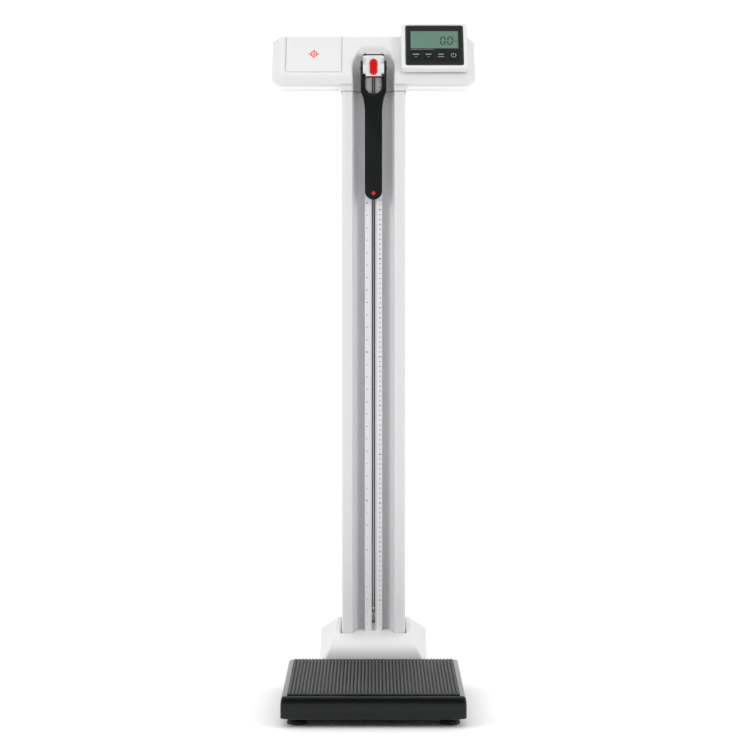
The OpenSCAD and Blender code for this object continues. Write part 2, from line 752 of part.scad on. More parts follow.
module power_socket() {
    color([0.1, 0.1, 0.1]) {
        difference() {
            union() {
                rod_y(100, head_back_y - 14, head_back_y, head_z + 14, 5.45);
                rod_y(100, head_back_y, head_back_y + 1.5, head_z + 14, 7);
            }
            rod_y(100, head_back_y - 10, head_back_y + 3, head_z + 14, 3.1);
        }
        rod_y(100, head_back_y - 11, head_back_y, head_z + 14, 1);
    }
}

// ---- Display ----
module display_outline(g) {
    polygon(round_rect(-display_w / 2 + g, display_w / 2 - g, display_s + g, display_s + display_l - g, 8 - g));
}
module panel_outline(g) {
    polygon(round_rect(-panel_w / 2 + g, panel_w / 2 - g, panel_s + g, panel_s + panel_l - g, 5 - g));
}
module key_outline(i, g) {
    x = (i - 1.5) * key_pitch + 0.3;
    polygon(round_rect(x - key_w / 2 - g, x + key_w / 2 + g, key_s - g, key_s + key_l + g, 2.5 + g, 3));
}
module lcd_outline(g) {
    translate([-lcd_w / 2 - g, lcd_s - g]) square([lcd_w + 2 * g, lcd_l + 2 * g]);
}
BOARD_POSTS = [for (sx = [-1, 1], y = [8, panel_l - 8]) [sx * (panel_w / 2 - 8), panel_s + y]];
module display_back() {
    color("white") on_slope(display_x) difference() {
        union() {
            translate([0, 0, box_lift]) linear_extrude(box_split - box_lift) display_outline(0);
            for (p = BOARD_POSTS) translate([p[0], p[1], 0]) cylinder(h = 8, r = 3.5);
        }
        difference() {
            translate([0, 0, box_lift + 2]) linear_extrude(20) display_outline(2.5);
            for (p = BOARD_POSTS) translate([p[0], p[1], 0]) cylinder(h = 8, r = 3.5);
        }
        translate([0, 60, -1]) cylinder(h = 10, r = 4);
    }
}
module display_front() {
    color("white") on_slope(display_x) difference() {
        union() {
            translate([0, 0, box_split]) linear_extrude(box_top - 3 - box_split) display_outline(0);
            hull() {
                translate([0, 0, box_top - 3.01]) linear_extrude(0.01) display_outline(0);
                translate([0, 0, box_top - 0.01]) linear_extrude(0.01) display_outline(2);
            }
        }
        translate([0, 0, box_split - 1]) linear_extrude(box_top - 2.5 - box_split + 1) display_outline(2.5);
        translate([0, 0, box_top - panel_t]) linear_extrude(5) panel_outline(-0.1);
        linear_extrude(40) lcd_outline(0.3);
        for (i = [0:3]) linear_extrude(40) key_outline(i, gap);
    }
}
module display_panel() {
    color([0.15, 0.17, 0.17]) on_slope(display_x)
        translate([0, 0, box_top - panel_t]) linear_extrude(panel_t) difference() {
            panel_outline(0);
            lcd_outline(0.1);
            for (i = [0:3]) key_outline(i, 0.3);
        }
}
module lcd() {
    color([0.5, 0.6, 0.55]) on_slope(display_x)
        translate([0, 0, box_top - 4]) linear_extrude(3.6) lcd_outline(0);
}
module display_board() {
    color("seagreen") on_slope(display_x) {
        translate([-panel_w / 2, panel_s + 3, 8]) cube([panel_w, panel_l - 6, 1.6]);
        translate([-lcd_w / 2 + 2, lcd_s + 2, 9.6]) cube([lcd_w - 4, lcd_l - 4, box_top - 13.6]);
        translate([15, lcd_s + 5, 6.5]) cube([16, 16, 1.5]);
        translate([-35, lcd_s + 8, 6]) cube([10, 22, 2]);
    }
}
module key(i) {
    color([0.2, 0.22, 0.22]) on_slope(display_x) {
        translate([0, 0, box_top - 3.2]) linear_extrude(3.4) key_outline(i, 0);
        translate([0, 0, box_top - 4.4]) linear_extrude(1.2) key_outline(i, 1.2);
        translate([(i - 1.5) * key_pitch + 0.3, key_s + key_l / 2, 10.3])
            cylinder(h = box_top - 14.7, r = 2.5);
    }
}

chassis();
platform_plate();
platform_shell();
tread_mat();
load_cells();
summing_board();
foot_pad(0);  // foot_pad_fl
foot_pad(1);  // foot_pad_fr
foot_pad(2);  // foot_pad_rl
foot_pad(3);  // foot_pad_rr
foot_screw(0);  // foot_screw_fl
foot_screw(1);  // foot_screw_fr
foot_screw(2);  // foot_screw_rl
foot_screw(3);  // foot_screw_rr
castor_bracket();
castor_axle();
castor(-1);  // castor_left
castor(1);  // castor_right
column_mount();
column_bolts();
base_cover();
channel_plug();
column();
sensor_cable();
rail();
rail_end();
rail_screws();
scale_foils();
inner_rod();
rod_scale();
rod_stop_screw();
rod_buffer();
rod_cap();
carriage();
reading_line();
red_button();
button_spring();
brake_lever();
lever_pin();
flap();
flap_pins();
head_front();
head_back();
head_frame();
head_screws();
battery_lid();
battery_tray();
batteries();
battery_contacts();
power_socket();
display_back();
display_front();
display_panel();
lcd();
display_board();
key(0);  // key_1
key(1);  // key_2
key(2);  // key_3
key(3);  // key_4
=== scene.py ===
import math

import bmesh
import bpy
import numpy as np
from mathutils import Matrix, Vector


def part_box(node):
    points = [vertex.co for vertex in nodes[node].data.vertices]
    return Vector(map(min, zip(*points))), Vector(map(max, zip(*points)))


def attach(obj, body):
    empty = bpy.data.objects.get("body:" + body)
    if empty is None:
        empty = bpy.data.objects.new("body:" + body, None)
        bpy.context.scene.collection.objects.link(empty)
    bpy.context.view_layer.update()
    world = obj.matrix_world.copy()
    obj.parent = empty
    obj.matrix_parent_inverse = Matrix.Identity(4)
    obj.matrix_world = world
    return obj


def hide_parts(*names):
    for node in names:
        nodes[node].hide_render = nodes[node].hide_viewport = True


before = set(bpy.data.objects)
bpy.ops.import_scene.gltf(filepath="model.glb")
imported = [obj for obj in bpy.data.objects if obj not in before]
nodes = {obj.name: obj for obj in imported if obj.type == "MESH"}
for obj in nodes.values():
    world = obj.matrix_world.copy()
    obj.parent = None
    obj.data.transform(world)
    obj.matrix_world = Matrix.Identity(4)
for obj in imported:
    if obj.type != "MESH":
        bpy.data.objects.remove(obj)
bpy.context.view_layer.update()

MM = 0.001
scene = bpy.context.scene

# ---- Camera ----
# A long lens 0.84 m above the floor, four metres in front of the column.
# A small tilt and a small shift together put the whole scale in the frame.
camera_data = bpy.data.cameras.new("camera")
camera_data.lens = 93.84
camera_data.sensor_width = 36
camera_data.shift_x = 0.002
camera_data.shift_y = -0.066
camera = bpy.data.objects.new("camera", camera_data)
camera.location = (0, -3.832, 0.8395)
camera.rotation_euler = (math.radians(90 - 1.63), 0, 0)
scene.collection.objects.link(camera)
scene.camera = camera
scene.view_settings.view_transform = "Standard"


# ---- Studio floor and light ----
# A white paper sweep that curves up far behind. A soft box and a narrow strip stand high on
# each side, the left box the stronger, and a wide box behind the scale lights the paper.
# The air glows from overhead and is dark straight ahead.
def mesh_piece(name, points, faces, sharp=35.0, unit=MM, close=False):
    """A mesh object from points in millimetres and faces as lists of point numbers. Doubled
    points are joined, open borders are closed if asked, and edges turned by more than
    the sharp angle, in degrees, stay sharp."""
    mesh = bpy.data.meshes.new(name)
    places = (np.asarray(points, float).reshape(-1, 3) * unit).tolist()
    mesh.from_pydata(places, [], [tuple(face) for face in faces])
    form = bmesh.new()
    form.from_mesh(mesh)
    bmesh.ops.remove_doubles(form, verts=form.verts, dist=2e-6)
    bmesh.ops.dissolve_degenerate(form, edges=form.edges, dist=2e-6)
    if close:
        bmesh.ops.holes_fill(form, edges=form.edges, sides=0)
        bmesh.ops.recalc_face_normals(form, faces=form.faces)
    form.to_mesh(mesh)
    form.free()
    mesh.shade_smooth()
    mesh.set_sharp_from_angle(angle=math.radians(sharp))
    piece = bpy.data.objects.new(name, mesh)
    scene.collection.objects.link(piece)
    return piece


def grid_faces(rows, cols, round_rows=False, round_cols=False, first=0):
    """Quads of a grid of rows x cols points: each joins a point, its right neighbour and the two
    on the next row. A round direction joins its last line to its first."""
    r = np.arange(rows if round_rows else rows - 1)[:, None]
    c = np.arange(cols if round_cols else cols - 1)[None, :]
    r2, c2 = (r + 1) % rows, (c + 1) % cols
    quads = np.stack([r * cols + c, r * cols + c2, r2 * cols + c2, r2 * cols + c], -1)
    return (quads.reshape(-1, 4) + first).tolist()


def backdrop():
    """A strip 24 m wide whose profile is flat to 5.2 m behind, then a quarter circle of 3 m,
    then upright."""
    turn = np.linspace(0, np.pi / 2, 24)
    y = np.concatenate([[-12, -6, 0, 3], 5.2 + 3 * np.sin(turn), [8.2]])
    z = np.concatenate([[0, 0, 0, 0], 3 - 3 * np.cos(turn), [9]])
    x = np.linspace(-12, 12, 5)
    points = np.stack(np.broadcast_arrays(x[None, :], y[:, None], z[:, None]), -1)
    return mesh_piece("studio_sweep", points, grid_faces(len(y), len(x)), unit=1)


class Value:
    """A shader socket on which + - * / and > add Math nodes."""

    def __init__(self, tree, socket):
        self.tree, self.socket = tree, socket

    def math(self, operation, *others):
        """A Math node of this value and the others, which may be sockets or numbers."""
        node = self.tree.nodes.new("ShaderNodeMath")
        node.operation = operation
        for slot, item in zip(node.inputs, (self,) + others):
            if isinstance(item, Value):
                self.tree.links.new(item.socket, slot)
            else:
                slot.default_value = item
        return Value(self.tree, node.outputs[0])

    def __add__(self, other):
        return self.math("ADD", other)

    __radd__ = __add__

    def __sub__(self, other):
        return self.math("SUBTRACT", other)

    def __rsub__(self, other):
        return self.math("MULTIPLY", -1.0) + other

    def __mul__(self, other):
        return self.math("MULTIPLY", other)

    __rmul__ = __mul__

    def __truediv__(self, other):
        return self.math("DIVIDE", other)

    def __gt__(self, other):
        return self.math("GREATER_THAN", other)


def opaque(colour):
    """A colour of three numbers with a fourth for full cover. Other values pass unchanged."""
    return (*colour, 1) if isinstance(colour, tuple) else colour


class Wiring:
    """A node tree being written."""

    def __init__(self, tree):
        self.tree = tree

    def plug(self, socket, value):
        """Links a socket to a value, or sets it to a number, colour or vector."""
        if isinstance(value, Value):
            self.tree.links.new(value.socket, socket)
        else:
            socket.default_value = value

    def node(self, kind, settings=None, **inputs):
        """One node of any kind: its settings first, then its sockets by name, or by number
        after an underscore. Returns its outputs by name."""
        made = self.tree.nodes.new(kind)
        for key, value in (settings or {}).items():
            setattr(made, key, value)
        for key, value in inputs.items():
            self.plug(made.inputs[int(key[1:]) if key[0] == "_" else key.replace("_", " ")], value)
        return {s.name: Value(self.tree, s) for s in made.outputs if s.enabled}

    def mix(self, fac, first, second):
        """A colour between two colours: sockets 6 and 7 of the node take the colours."""
        made = self.node("ShaderNodeMix", {"data_type": "RGBA"}, _0=fac, _6=opaque(first), _7=opaque(second))
        return made["Result"]

    def span(self, value, low, high, to_low=0.0, to_high=1.0):
        """A value carried from one range to another, held at the ends."""
        made = self.node("ShaderNodeMapRange", {"clamp": True}, Value=value, From_Min=low, From_Max=high,
                         To_Min=to_low, To_Max=to_high)
        return made["Result"]


class Finish(Wiring):
    """A material being written: its main shader and the object's coordinates."""

    def __init__(self, name, **constants):
        self.material = bpy.data.materials.new(name)
        self.material.use_nodes = True
        super().__init__(self.material.node_tree)
        self.shader = self.tree.nodes["Principled BSDF"]
        self.place = self.node("ShaderNodeTexCoord")["Object"]
        for socket, value in constants.items():
            self.set(socket.replace("_", " "), value)

    def set(self, socket, value):
        """Links or sets one socket of the main shader."""
        self.plug(self.shader.inputs[socket], opaque(value))

    def noise(self, scale, detail=2.0, stretch=(1, 1, 1)):
        """A cloud from 0 to 1 over the object, finer as the scale grows. A stretch below 1
        draws it out along that axis."""
        place = self.place
        if stretch != (1, 1, 1):
            place = self.node("ShaderNodeMapping", Vector=place, Scale=stretch)["Vector"]
        return self.node("ShaderNodeTexNoise", Vector=place, Scale=scale, Detail=detail)["Fac"]

    def bump(self, height, distance):
        """Raises the surface by height times distance, in metres. Returns the material."""
        self.set("Normal", self.node("ShaderNodeBump", Height=height, Distance=distance)["Normal"])
        return self.material


def wear(material, *pieces):
    """Gives each piece that one material. Returns the first piece."""
    for piece in pieces:
        piece.data.materials.clear()
        piece.data.materials.append(material)
    return pieces[0]


def paper():
    """White paper with faint fibres."""
    finish = Finish("white_paper", Roughness=0.9)
    fibres = finish.noise(60, 3)
    finish.set("Base Color", finish.mix(fibres, (0.88, 0.88, 0.88), (0.92, 0.92, 0.92)))
    return finish.bump(fibres, 0.0002)


sweep = wear(paper(), backdrop())


def soft_box(name, place, aim, size, power):
    """A rectangular lamp at a place, turned to face the point it is aimed at."""
    lamp = bpy.data.lights.new(name, "AREA")
    lamp.shape = "RECTANGLE"
    lamp.size, lamp.size_y = size
    lamp.energy = power
    light = bpy.data.objects.new(name, lamp)
    light.location = place
    way = np.array(aim, float) - np.array(place, float)
    tip, turn = math.atan2(math.hypot(way[0], way[1]), -way[2]), math.atan2(-way[0], way[1])
    light.rotation_euler = (tip, 0, turn)
    scene.collection.objects.link(light)


soft_box("box_left", (-3.4, -2.2, 2.4), (0, 0.1, 0.8), (1.8, 2.6), 50)
soft_box("box_right", (3.4, -2.2, 2.2), (0, 0.1, 0.7), (1.6, 2.4), 38)
soft_box("strip_left", (-2.5, -1.9, 1.9), (0, -0.2, 0.1), (0.16, 1.0), 7)
soft_box("strip_right", (2.5, -1.9, 1.9), (0, -0.2, 0.1), (0.16, 1.0), 7)
soft_box("box_back", (0, 3.6, 3.4), (0, 6.5, 0.6), (6.0, 1.5), 190)


def studio_air():
    """Light from all round: brightest overhead, and dark straight ahead below a height of
    about 25 degrees, where the studio has no lamp. Seen directly, the air is white."""
    world = bpy.data.worlds.new("studio")
    scene.world = world
    world.use_nodes = True
    air = Wiring(world.node_tree)
    way = air.node("ShaderNodeSeparateXYZ", Vector=air.node("ShaderNodeTexCoord")["Generated"])
    overhead = air.span(way["Z"], 0.45, 0.85, 0.60, 1.42)
    ahead = air.span(way["Y"], -0.95, -0.7, 1.0, 0.0) * air.span(way["Z"], 0.38, 0.5, 1.0, 0.0)
    seen = air.node("ShaderNodeLightPath")["Is Camera Ray"]
    strength = overhead * (1 - 0.96 * ahead) * (1 - seen) + seen
    background = world.node_tree.nodes["Background"].inputs
    air.plug(background["Strength"], strength)
    air.plug(background["Color"], (1, 1, 1, 1))


studio_air()


# ---- Steel chassis ----
# The tray, the plate under the mat, the column's foot, the castor bracket and the head's
# frame are pressed from zinc-plated sheet, and bolted together out of sight.
def zinc():
    """Zinc plating: patches of crystals under a fine grain."""
    finish = Finish("zinc_plated_steel", Metallic=0.9)
    spangle = finish.node("ShaderNodeTexVoronoi", Vector=finish.place, Scale=90)["Color"]
    grain = finish.noise(300, 2, (1, 0.2, 1))
    shade = finish.mix(0.18, (0.52, 0.53, 0.54), spangle)
    finish.set("Base Color", finish.mix(finish.noise(14, 3) * 0.5, shade, (0.42, 0.43, 0.45)))
    finish.set("Roughness", finish.span(grain, 0.3, 0.7, 0.28, 0.46))
    return finish.bump(grain, 0.00005)


def place(node):
    """Lowest and highest corner of a CAD node at rest, in millimetres."""
    low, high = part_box(node)
    return np.array(low) / MM, np.array(high) / MM


def tray_shade_coat():
    """Nearly black over zinc, with faint runs, for the tray alone. The dark tone is painted
    shade that keeps the gap under the casing dark.
    """
    finish = Finish("tray_painted_shade", Roughness=0.5)
    runs = finish.noise(30, 3, (1, 1, 0.2))
    tone = finish.mix(finish.span(runs, 0.3, 0.7), (0.012, 0.013, 0.014), (0.022, 0.023, 0.025))
    finish.set("Base Color", tone)
    return finish.bump(runs, 0.00005)


steel = zinc()
# The tray's near-black is painted shade for the gap under the casing.
wear(tray_shade_coat(), nodes["chassis"])
wear(steel, *(nodes[n] for n in ("platform_plate", "column_mount", "castor_bracket", "head_frame")))


# ---- Load cells and their board ----
# Four aluminium bending beams carry the plate; a green board adds up their signals and a
# grey cable takes the sum up through the column to the display.
def drawn_metal(name, base, rough):
    """Bare metal with fine lines drawn out along z."""
    finish = Finish(name, Metallic=1.0)
    lines = finish.noise(120, 3, (1, 1, 0.02))
    finish.set("Base Color", finish.mix(finish.span(lines, 0.3, 0.7), base, tuple(c * 0.86 for c in base)))
    finish.set("Roughness", finish.span(lines, 0.3, 0.7, rough, rough + 0.14))
    return finish.bump(lines, 0.00003)


def circuit_green():
    """Green lacquer over a brick pattern of lighter tracks."""
    finish = Finish("circuit_board", Roughness=0.35, Coat_Weight=0.3)
    tracks = finish.node(
        "ShaderNodeTexBrick", {"offset": 0.35}, Vector=finish.place, Scale=160, Mortar_Size=0.05,
        Color1=(0.01, 0.12, 0.05, 1), Color2=(0.012, 0.15, 0.06, 1), Mortar=(0.05, 0.24, 0.1, 1))
    finish.set("Base Color", tracks["Color"])
    return finish.bump(tracks["Fac"], 0.0001)


def soft_rubber(name, base, rough=0.62):
    """Rubber or nylon of one tone with a fine grain and a little pale dust."""
    finish = Finish(name)
    grain = finish.noise(700, 2)
    dust = finish.noise(24, 4)
    dusty = tuple(c * 1.5 + 0.01 for c in base)
    finish.set("Base Color", finish.mix(finish.span(dust, 0.35, 0.8, 0, 0.3), base, dusty))
    finish.set("Roughness", finish.span(grain, 0.3, 0.7, rough, rough + 0.14))
    return finish.bump(grain, 0.00012)


black_rubber = soft_rubber("black_rubber", (0.018, 0.019, 0.02))
wear(drawn_metal("cell_aluminium", (0.74, 0.75, 0.77), 0.3), nodes["load_cells"])
wear(circuit_green(), nodes["summing_board"], nodes["display_board"])
wear(black_rubber, nodes["sensor_cable"], nodes["rod_buffer"], nodes["rail_end"])


# ---- Levelling feet ----
# A moulded rubber pad turns on the ball end of a zinc-plated stud at each corner of the
# tray. The pad's rim is rounded and its top slopes up to the stud.
def turned(name, profile, centre, steps=40):
    """A profile of radius and height carried once round an upright axis through the centre."""
    turn = np.linspace(0, 2 * np.pi, steps, endpoint=False)[None, :]
    r, z = (np.array(profile, float)[:, i][:, None] for i in (0, 1))
    points = np.stack([centre[0] + r * np.cos(turn), centre[1] + r * np.sin(turn),
                       centre[2] + z + 0 * turn], -1)
    return mesh_piece(name, points, grid_faces(len(profile), steps, round_cols=True), close=True)


def corner_arc(centre, radius, start, stop, count=6):
    """Points of a circle from one angle to another, in degrees."""
    turn = np.radians(np.linspace(start, stop, count))
    return np.stack([centre[0] + radius * np.cos(turn), centre[1] + radius * np.sin(turn)], -1)


pad_profile = np.concatenate([
    [[16.5, 0]], corner_arc((17.3, 1.2), 1.2, -90, 0, 4), corner_arc((17.0, 3.4), 1.5, 0, 52, 5),
    [[16.6, 5.9], [13.6, 7.6]], corner_arc((12.9, 6.9), 1.0, 60, 90, 3), [[4.1, 7.95]]])
bright_steel = drawn_metal("bright_steel", (0.62, 0.63, 0.65), 0.22)
for corner in ("fl", "fr", "rl", "rr"):
    low, high = place(f"foot_pad_{corner}")
    foot = turned(f"rubber_foot_{corner}", pad_profile, ((low[0] + high[0]) / 2, (low[1] + high[1]) / 2, 0))
    wear(black_rubber, foot)
    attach(foot, f"foot_{corner}")
    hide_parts(f"foot_pad_{corner}")
    wear(bright_steel, nodes[f"foot_screw_{corner}"])


# ---- Platform casing ----
# A black ABS moulding that stands over the tray like a lid. Its walls curve in a little
# towards the top, its edges and corners are rounded, and it has a smooth, low gloss.
def outline(centre, half, radius, steps=6):
    """A rectangle with quarter-circle corners, anticlockwise, as an array of points."""
    corners = []
    for sx, sy, start in ((1, -1, -90), (1, 1, 0), (-1, 1, 90), (-1, -1, 180)):
        middle = (centre[0] + sx * (half[0] - radius), centre[1] + sy * (half[1] - radius))
        corners.append(corner_arc(middle, radius, start, start + 90, steps))
    return np.concatenate(corners)


def lofted(name, rings, round_rows=False, sharp=35.0, close=True):
    """A skin through rings of equally many points, one row of quads from ring to ring."""
    rings = np.array(rings)
    return mesh_piece(name, rings, grid_faces(len(rings), rings.shape[1], round_rows, True), sharp,
                      close=close)


def level(flat, z):
    """A flat outline lifted to a height."""
    return np.column_stack([flat, np.full(len(flat), float(z))])


def casing():
    """The outline shrunk and lifted along a profile: up the inner wall, out under the rim,
    up the outer wall, in along a slow arc of 16 degrees and over a tight one to the top."""
    low, high = place("platform_shell")
    centre = (low + high)[:2] / 2
    half = (high - low)[:2] / 2
    top, rim, edge, wall, hem = high[2], low[2], 7.0, 3.0, 1.2
    path = [(wall, top - wall), (wall, rim), (1.0, rim)]
    path += [(hem - hem * math.sin(a), rim + hem - hem * math.cos(a)) for a in np.linspace(0.2, np.pi / 2, 4)]
    slow, lean = 50.0, math.radians(16)
    belly = [(slow - slow * math.cos(a), slow * math.sin(a)) for a in np.linspace(0, lean, 8)]
    tight = (edge - belly[-1][0]) / math.cos(lean)
    start = top - belly[-1][1] - tight * (1 - math.sin(lean))
    path += [(inset, start + rise) for inset, rise in belly]
    path += [(edge - tight * math.cos(a), top - tight + tight * math.sin(a))
             for a in np.linspace(lean, np.pi / 2, 11)[1:]]
    rings = [level(outline(centre, half - inset, max(edge - inset, 0.6), 9), z) for inset, z in path]
    return lofted("platform_casing", rings)


def moulded_black():
    """Black ABS with a fine grain and a faint cloud."""
    finish = Finish("black_abs", Specular_IOR_Level=0.28)
    grain = finish.noise(900, 2)
    tone = finish.mix(finish.noise(7, 3), (0.0022, 0.0032, 0.0032), (0.0040, 0.0054, 0.0052))
    finish.set("Base Color", tone)
    finish.set("Roughness", finish.span(grain, 0.3, 0.7, 0.2, 0.28))
    return finish.bump(grain, 0.00002)


black_abs = moulded_black()
platform_casing = wear(black_abs, casing())
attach(platform_casing, "scale")
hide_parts("platform_shell")


# ---- Ribbed mat ----
# A black rubber mat glued to the casing, with 47 round-topped ribs from front to back so
# that shoes don't slip. The ribs end in a short quarter round at both ends.
def ribbed_mat():
    """Height over x and y: a rounded rib of half width w every pitch, as the square root of
    1 minus the cube of x / w, faded out at both ends by a quarter circle."""
    low, high = place("tread_mat")
    pitch, count, rib_half, run_out = 6.75, 47, 2.35, 2.6
    margin, thickness, sunk, plain_end = 0.5, 1.1, 0.3, 60
    turn = np.linspace(-np.pi / 2, np.pi / 2, 9)
    first = (low[0] + high[0] - pitch * (count - 1)) / 2
    rib_x = (first + pitch * np.arange(count)[:, None] + rib_half * np.sin(turn)[None, :]).ravel()
    x = np.concatenate([[low[0], low[0], low[0] + margin], rib_x, [high[0] - margin, high[0], high[0]]])
    lift = np.tile(np.sqrt(np.abs(1 - np.abs(np.sin(turn)) ** 3)), count)
    lift = np.concatenate([np.zeros(3), lift, np.zeros(3)])
    ease = np.sin(np.linspace(0, np.pi / 2, 5))
    end = np.concatenate([[0, 0, 0.4], 0.9 + run_out * (1 - np.cos(np.linspace(0, np.pi / 2, 5)))])
    fade = np.concatenate([[0, 0, 0], ease])
    inner_y = [low[1] + plain_end, (low[1] + high[1]) / 2, high[1] - plain_end]
    y = np.concatenate([low[1] + end, inner_y, high[1] - end[::-1]])
    fade = np.concatenate([fade, [1, 1, 1], fade[::-1]])
    base = low[2] + thickness
    z = base + (high[2] - base) * lift[None, :] * fade[:, None]
    z[0], z[-1], z[:, 0], z[:, -1] = (low[2] - sunk,) * 4
    points = np.stack(np.broadcast_arrays(x[None, :], y[:, None], z), -1)
    return mesh_piece("ribbed_mat", points, grid_faces(len(y), len(x)), sharp=50, close=True)


def mat_rubber():
    """Black rubber with a painted highlight: greyer on the rib tops, with paler patches there."""
    finish = Finish("mat_rubber", Specular_IOR_Level=0.1)
    grain = finish.noise(500, 3)
    rib_patches = finish.noise(9, 4, (1, 0.35, 1))
    height = finish.node("ShaderNodeSeparateXYZ", Vector=finish.place)["Z"]
    # Painted highlight: the rib tops, picked out by their height, are greyer than the grooves.
    top = finish.span(height, 0.0597, 0.0617, 0, 1)
    tone = finish.mix(top, (0.0012, 0.0014, 0.0014), (0.062, 0.065, 0.065))
    # Paler patches on the rib tops, part of the same painted highlight.
    painted_shading = finish.span(rib_patches, 0.4, 0.8, 0, 0.35) * top
    finish.set("Base Color", finish.mix(painted_shading, tone, (0.065, 0.069, 0.069)))
    finish.set("Roughness", finish.span(grain, 0.3, 0.7, 0.46, 0.6))
    return finish.bump(grain, 0.00008)


mat = wear(mat_rubber(), ribbed_mat())
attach(mat, "scale")
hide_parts("tread_mat")


# ---- Castors ----
# Two grey nylon wheels on a steel axle under the rear edge, for tipping the scale back and
# rolling it away. Each has a rounded tread and a hub dished on both sides.
def castor(side):
    """A wheel section of radius and width carried once round the axle."""
    low, high = place(f"castor_{side}")
    middle = (low + high) / 2
    r, w, steps = (high[2] - low[2]) / 2, (high[0] - low[0]) / 2, 48
    rim = [(4.1, -w + 1), (7, -w + 0.6), (7.2, -w + 4), (11, -w + 4), (11.4, -w + 0.4), (12.2, -w),
           (13.6, -w + 0.3)]
    tread = corner_arc((r - 3.4, -w + 3.6), 3.4, -70, 0, 6).tolist()
    half = rim + tread
    profile = np.array(half + [(a, -b) for a, b in half[::-1]])
    turn = np.linspace(0, 2 * np.pi, steps, endpoint=False)[None, :]
    radius, across = profile[:, 0][:, None], profile[:, 1][:, None]
    points = np.stack([middle[0] + across + 0 * turn, middle[1] + radius * np.cos(turn),
                       middle[2] + radius * np.sin(turn)], -1)
    faces = grid_faces(len(profile), steps, round_rows=True, round_cols=True)
    return mesh_piece(f"nylon_wheel_{side}", points, faces, close=True)


grey_nylon = soft_rubber("grey_nylon", (0.10, 0.102, 0.105), 0.4)
for side in ("left", "right"):
    wheel = wear(grey_nylon, castor(side))
    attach(wheel, f"wheel_{side}")
    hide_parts(f"castor_{side}")
wear(bright_steel, nodes["castor_axle"])


# ---- Base cover ----
# A white ABS moulding 3 mm thick over the column's foot. A quarter-round nose meets two
# flat slanting cheeks at a crease, and the roof rises a little towards the back.
def white_moulding(name, painted_shading=None):
    """White ABS with a fine spark-eroded grain and a faint unevenness of tone. Given the
    place of the nose's foot, (front, low, high) in metres, it is painted greyer there, as
    painted shade standing in for the shadow just above the black mat."""
    tone = (0.70, 0.70, 0.706)
    finish = Finish(name, Coat_Weight=0.08, Coat_Roughness=0.3)
    grain = finish.noise(1100, 2)
    cloud = finish.noise(5, 3)
    colour = finish.mix(finish.span(cloud, 0.3, 0.7), tone, tuple(c * 0.975 for c in tone))
    # Painted shade: greyer low on the nose near its front, standing in for the shadow above the mat.
    if painted_shading:
        front, low, high = painted_shading
        at = finish.node("ShaderNodeSeparateXYZ", Vector=finish.place)
        near = finish.span(at["Z"], low, high, 0.55, 0.0)
        near = near * finish.span(at["Y"], front + 0.012, front + 0.03, 1.0, 0.0)
        colour = finish.mix(near, colour, tuple(c * 0.4 for c in tone))
    finish.set("Base Color", colour)
    finish.set("Roughness", finish.span(grain, 0.3, 0.7, 0.34, 0.44))
    return finish.bump(grain, 0.000025)


def thick(piece, wall=0.0, bevel=0.0, segments=3, turn=40.0):
    """A wall built inwards from a skin, then rounds along the edges that turn by more than
    an angle in degrees."""
    if wall:
        build = piece.modifiers.new("wall", "SOLIDIFY")
        build.thickness = wall * MM
        build.offset = -1
        build.use_even_offset = True
        build.thickness_clamp = 1.0
    if bevel:
        edge = piece.modifiers.new("edges", "BEVEL")
        edge.width = bevel * MM
        edge.segments = segments
        edge.limit_method = "ANGLE"
        edge.angle_limit = math.radians(turn)
        edge.use_clamp_overlap = False
    return piece


def faced_out(piece, flat=0.0):
    """Joins faces that meet at less than an angle in degrees, if asked, and turns all faces
    outwards. The face farthest from the middle tells which way is out."""
    form = bmesh.new()
    form.from_mesh(piece.data)
    if flat:
        bmesh.ops.dissolve_limit(form, angle_limit=math.radians(flat), verts=form.verts, edges=form.edges)
    bmesh.ops.recalc_face_normals(form, faces=form.faces)
    middle = np.mean([v.co[:] for v in form.verts], 0)
    way = {face: np.array(face.calc_center_median()) - middle for face in form.faces}
    farthest = max(way, key=lambda face: np.linalg.norm(way[face]))
    if way[farthest] @ np.array(farthest.normal) < 0:
        bmesh.ops.reverse_faces(form, faces=form.faces)
    form.to_mesh(piece.data)
    form.free()
    return piece


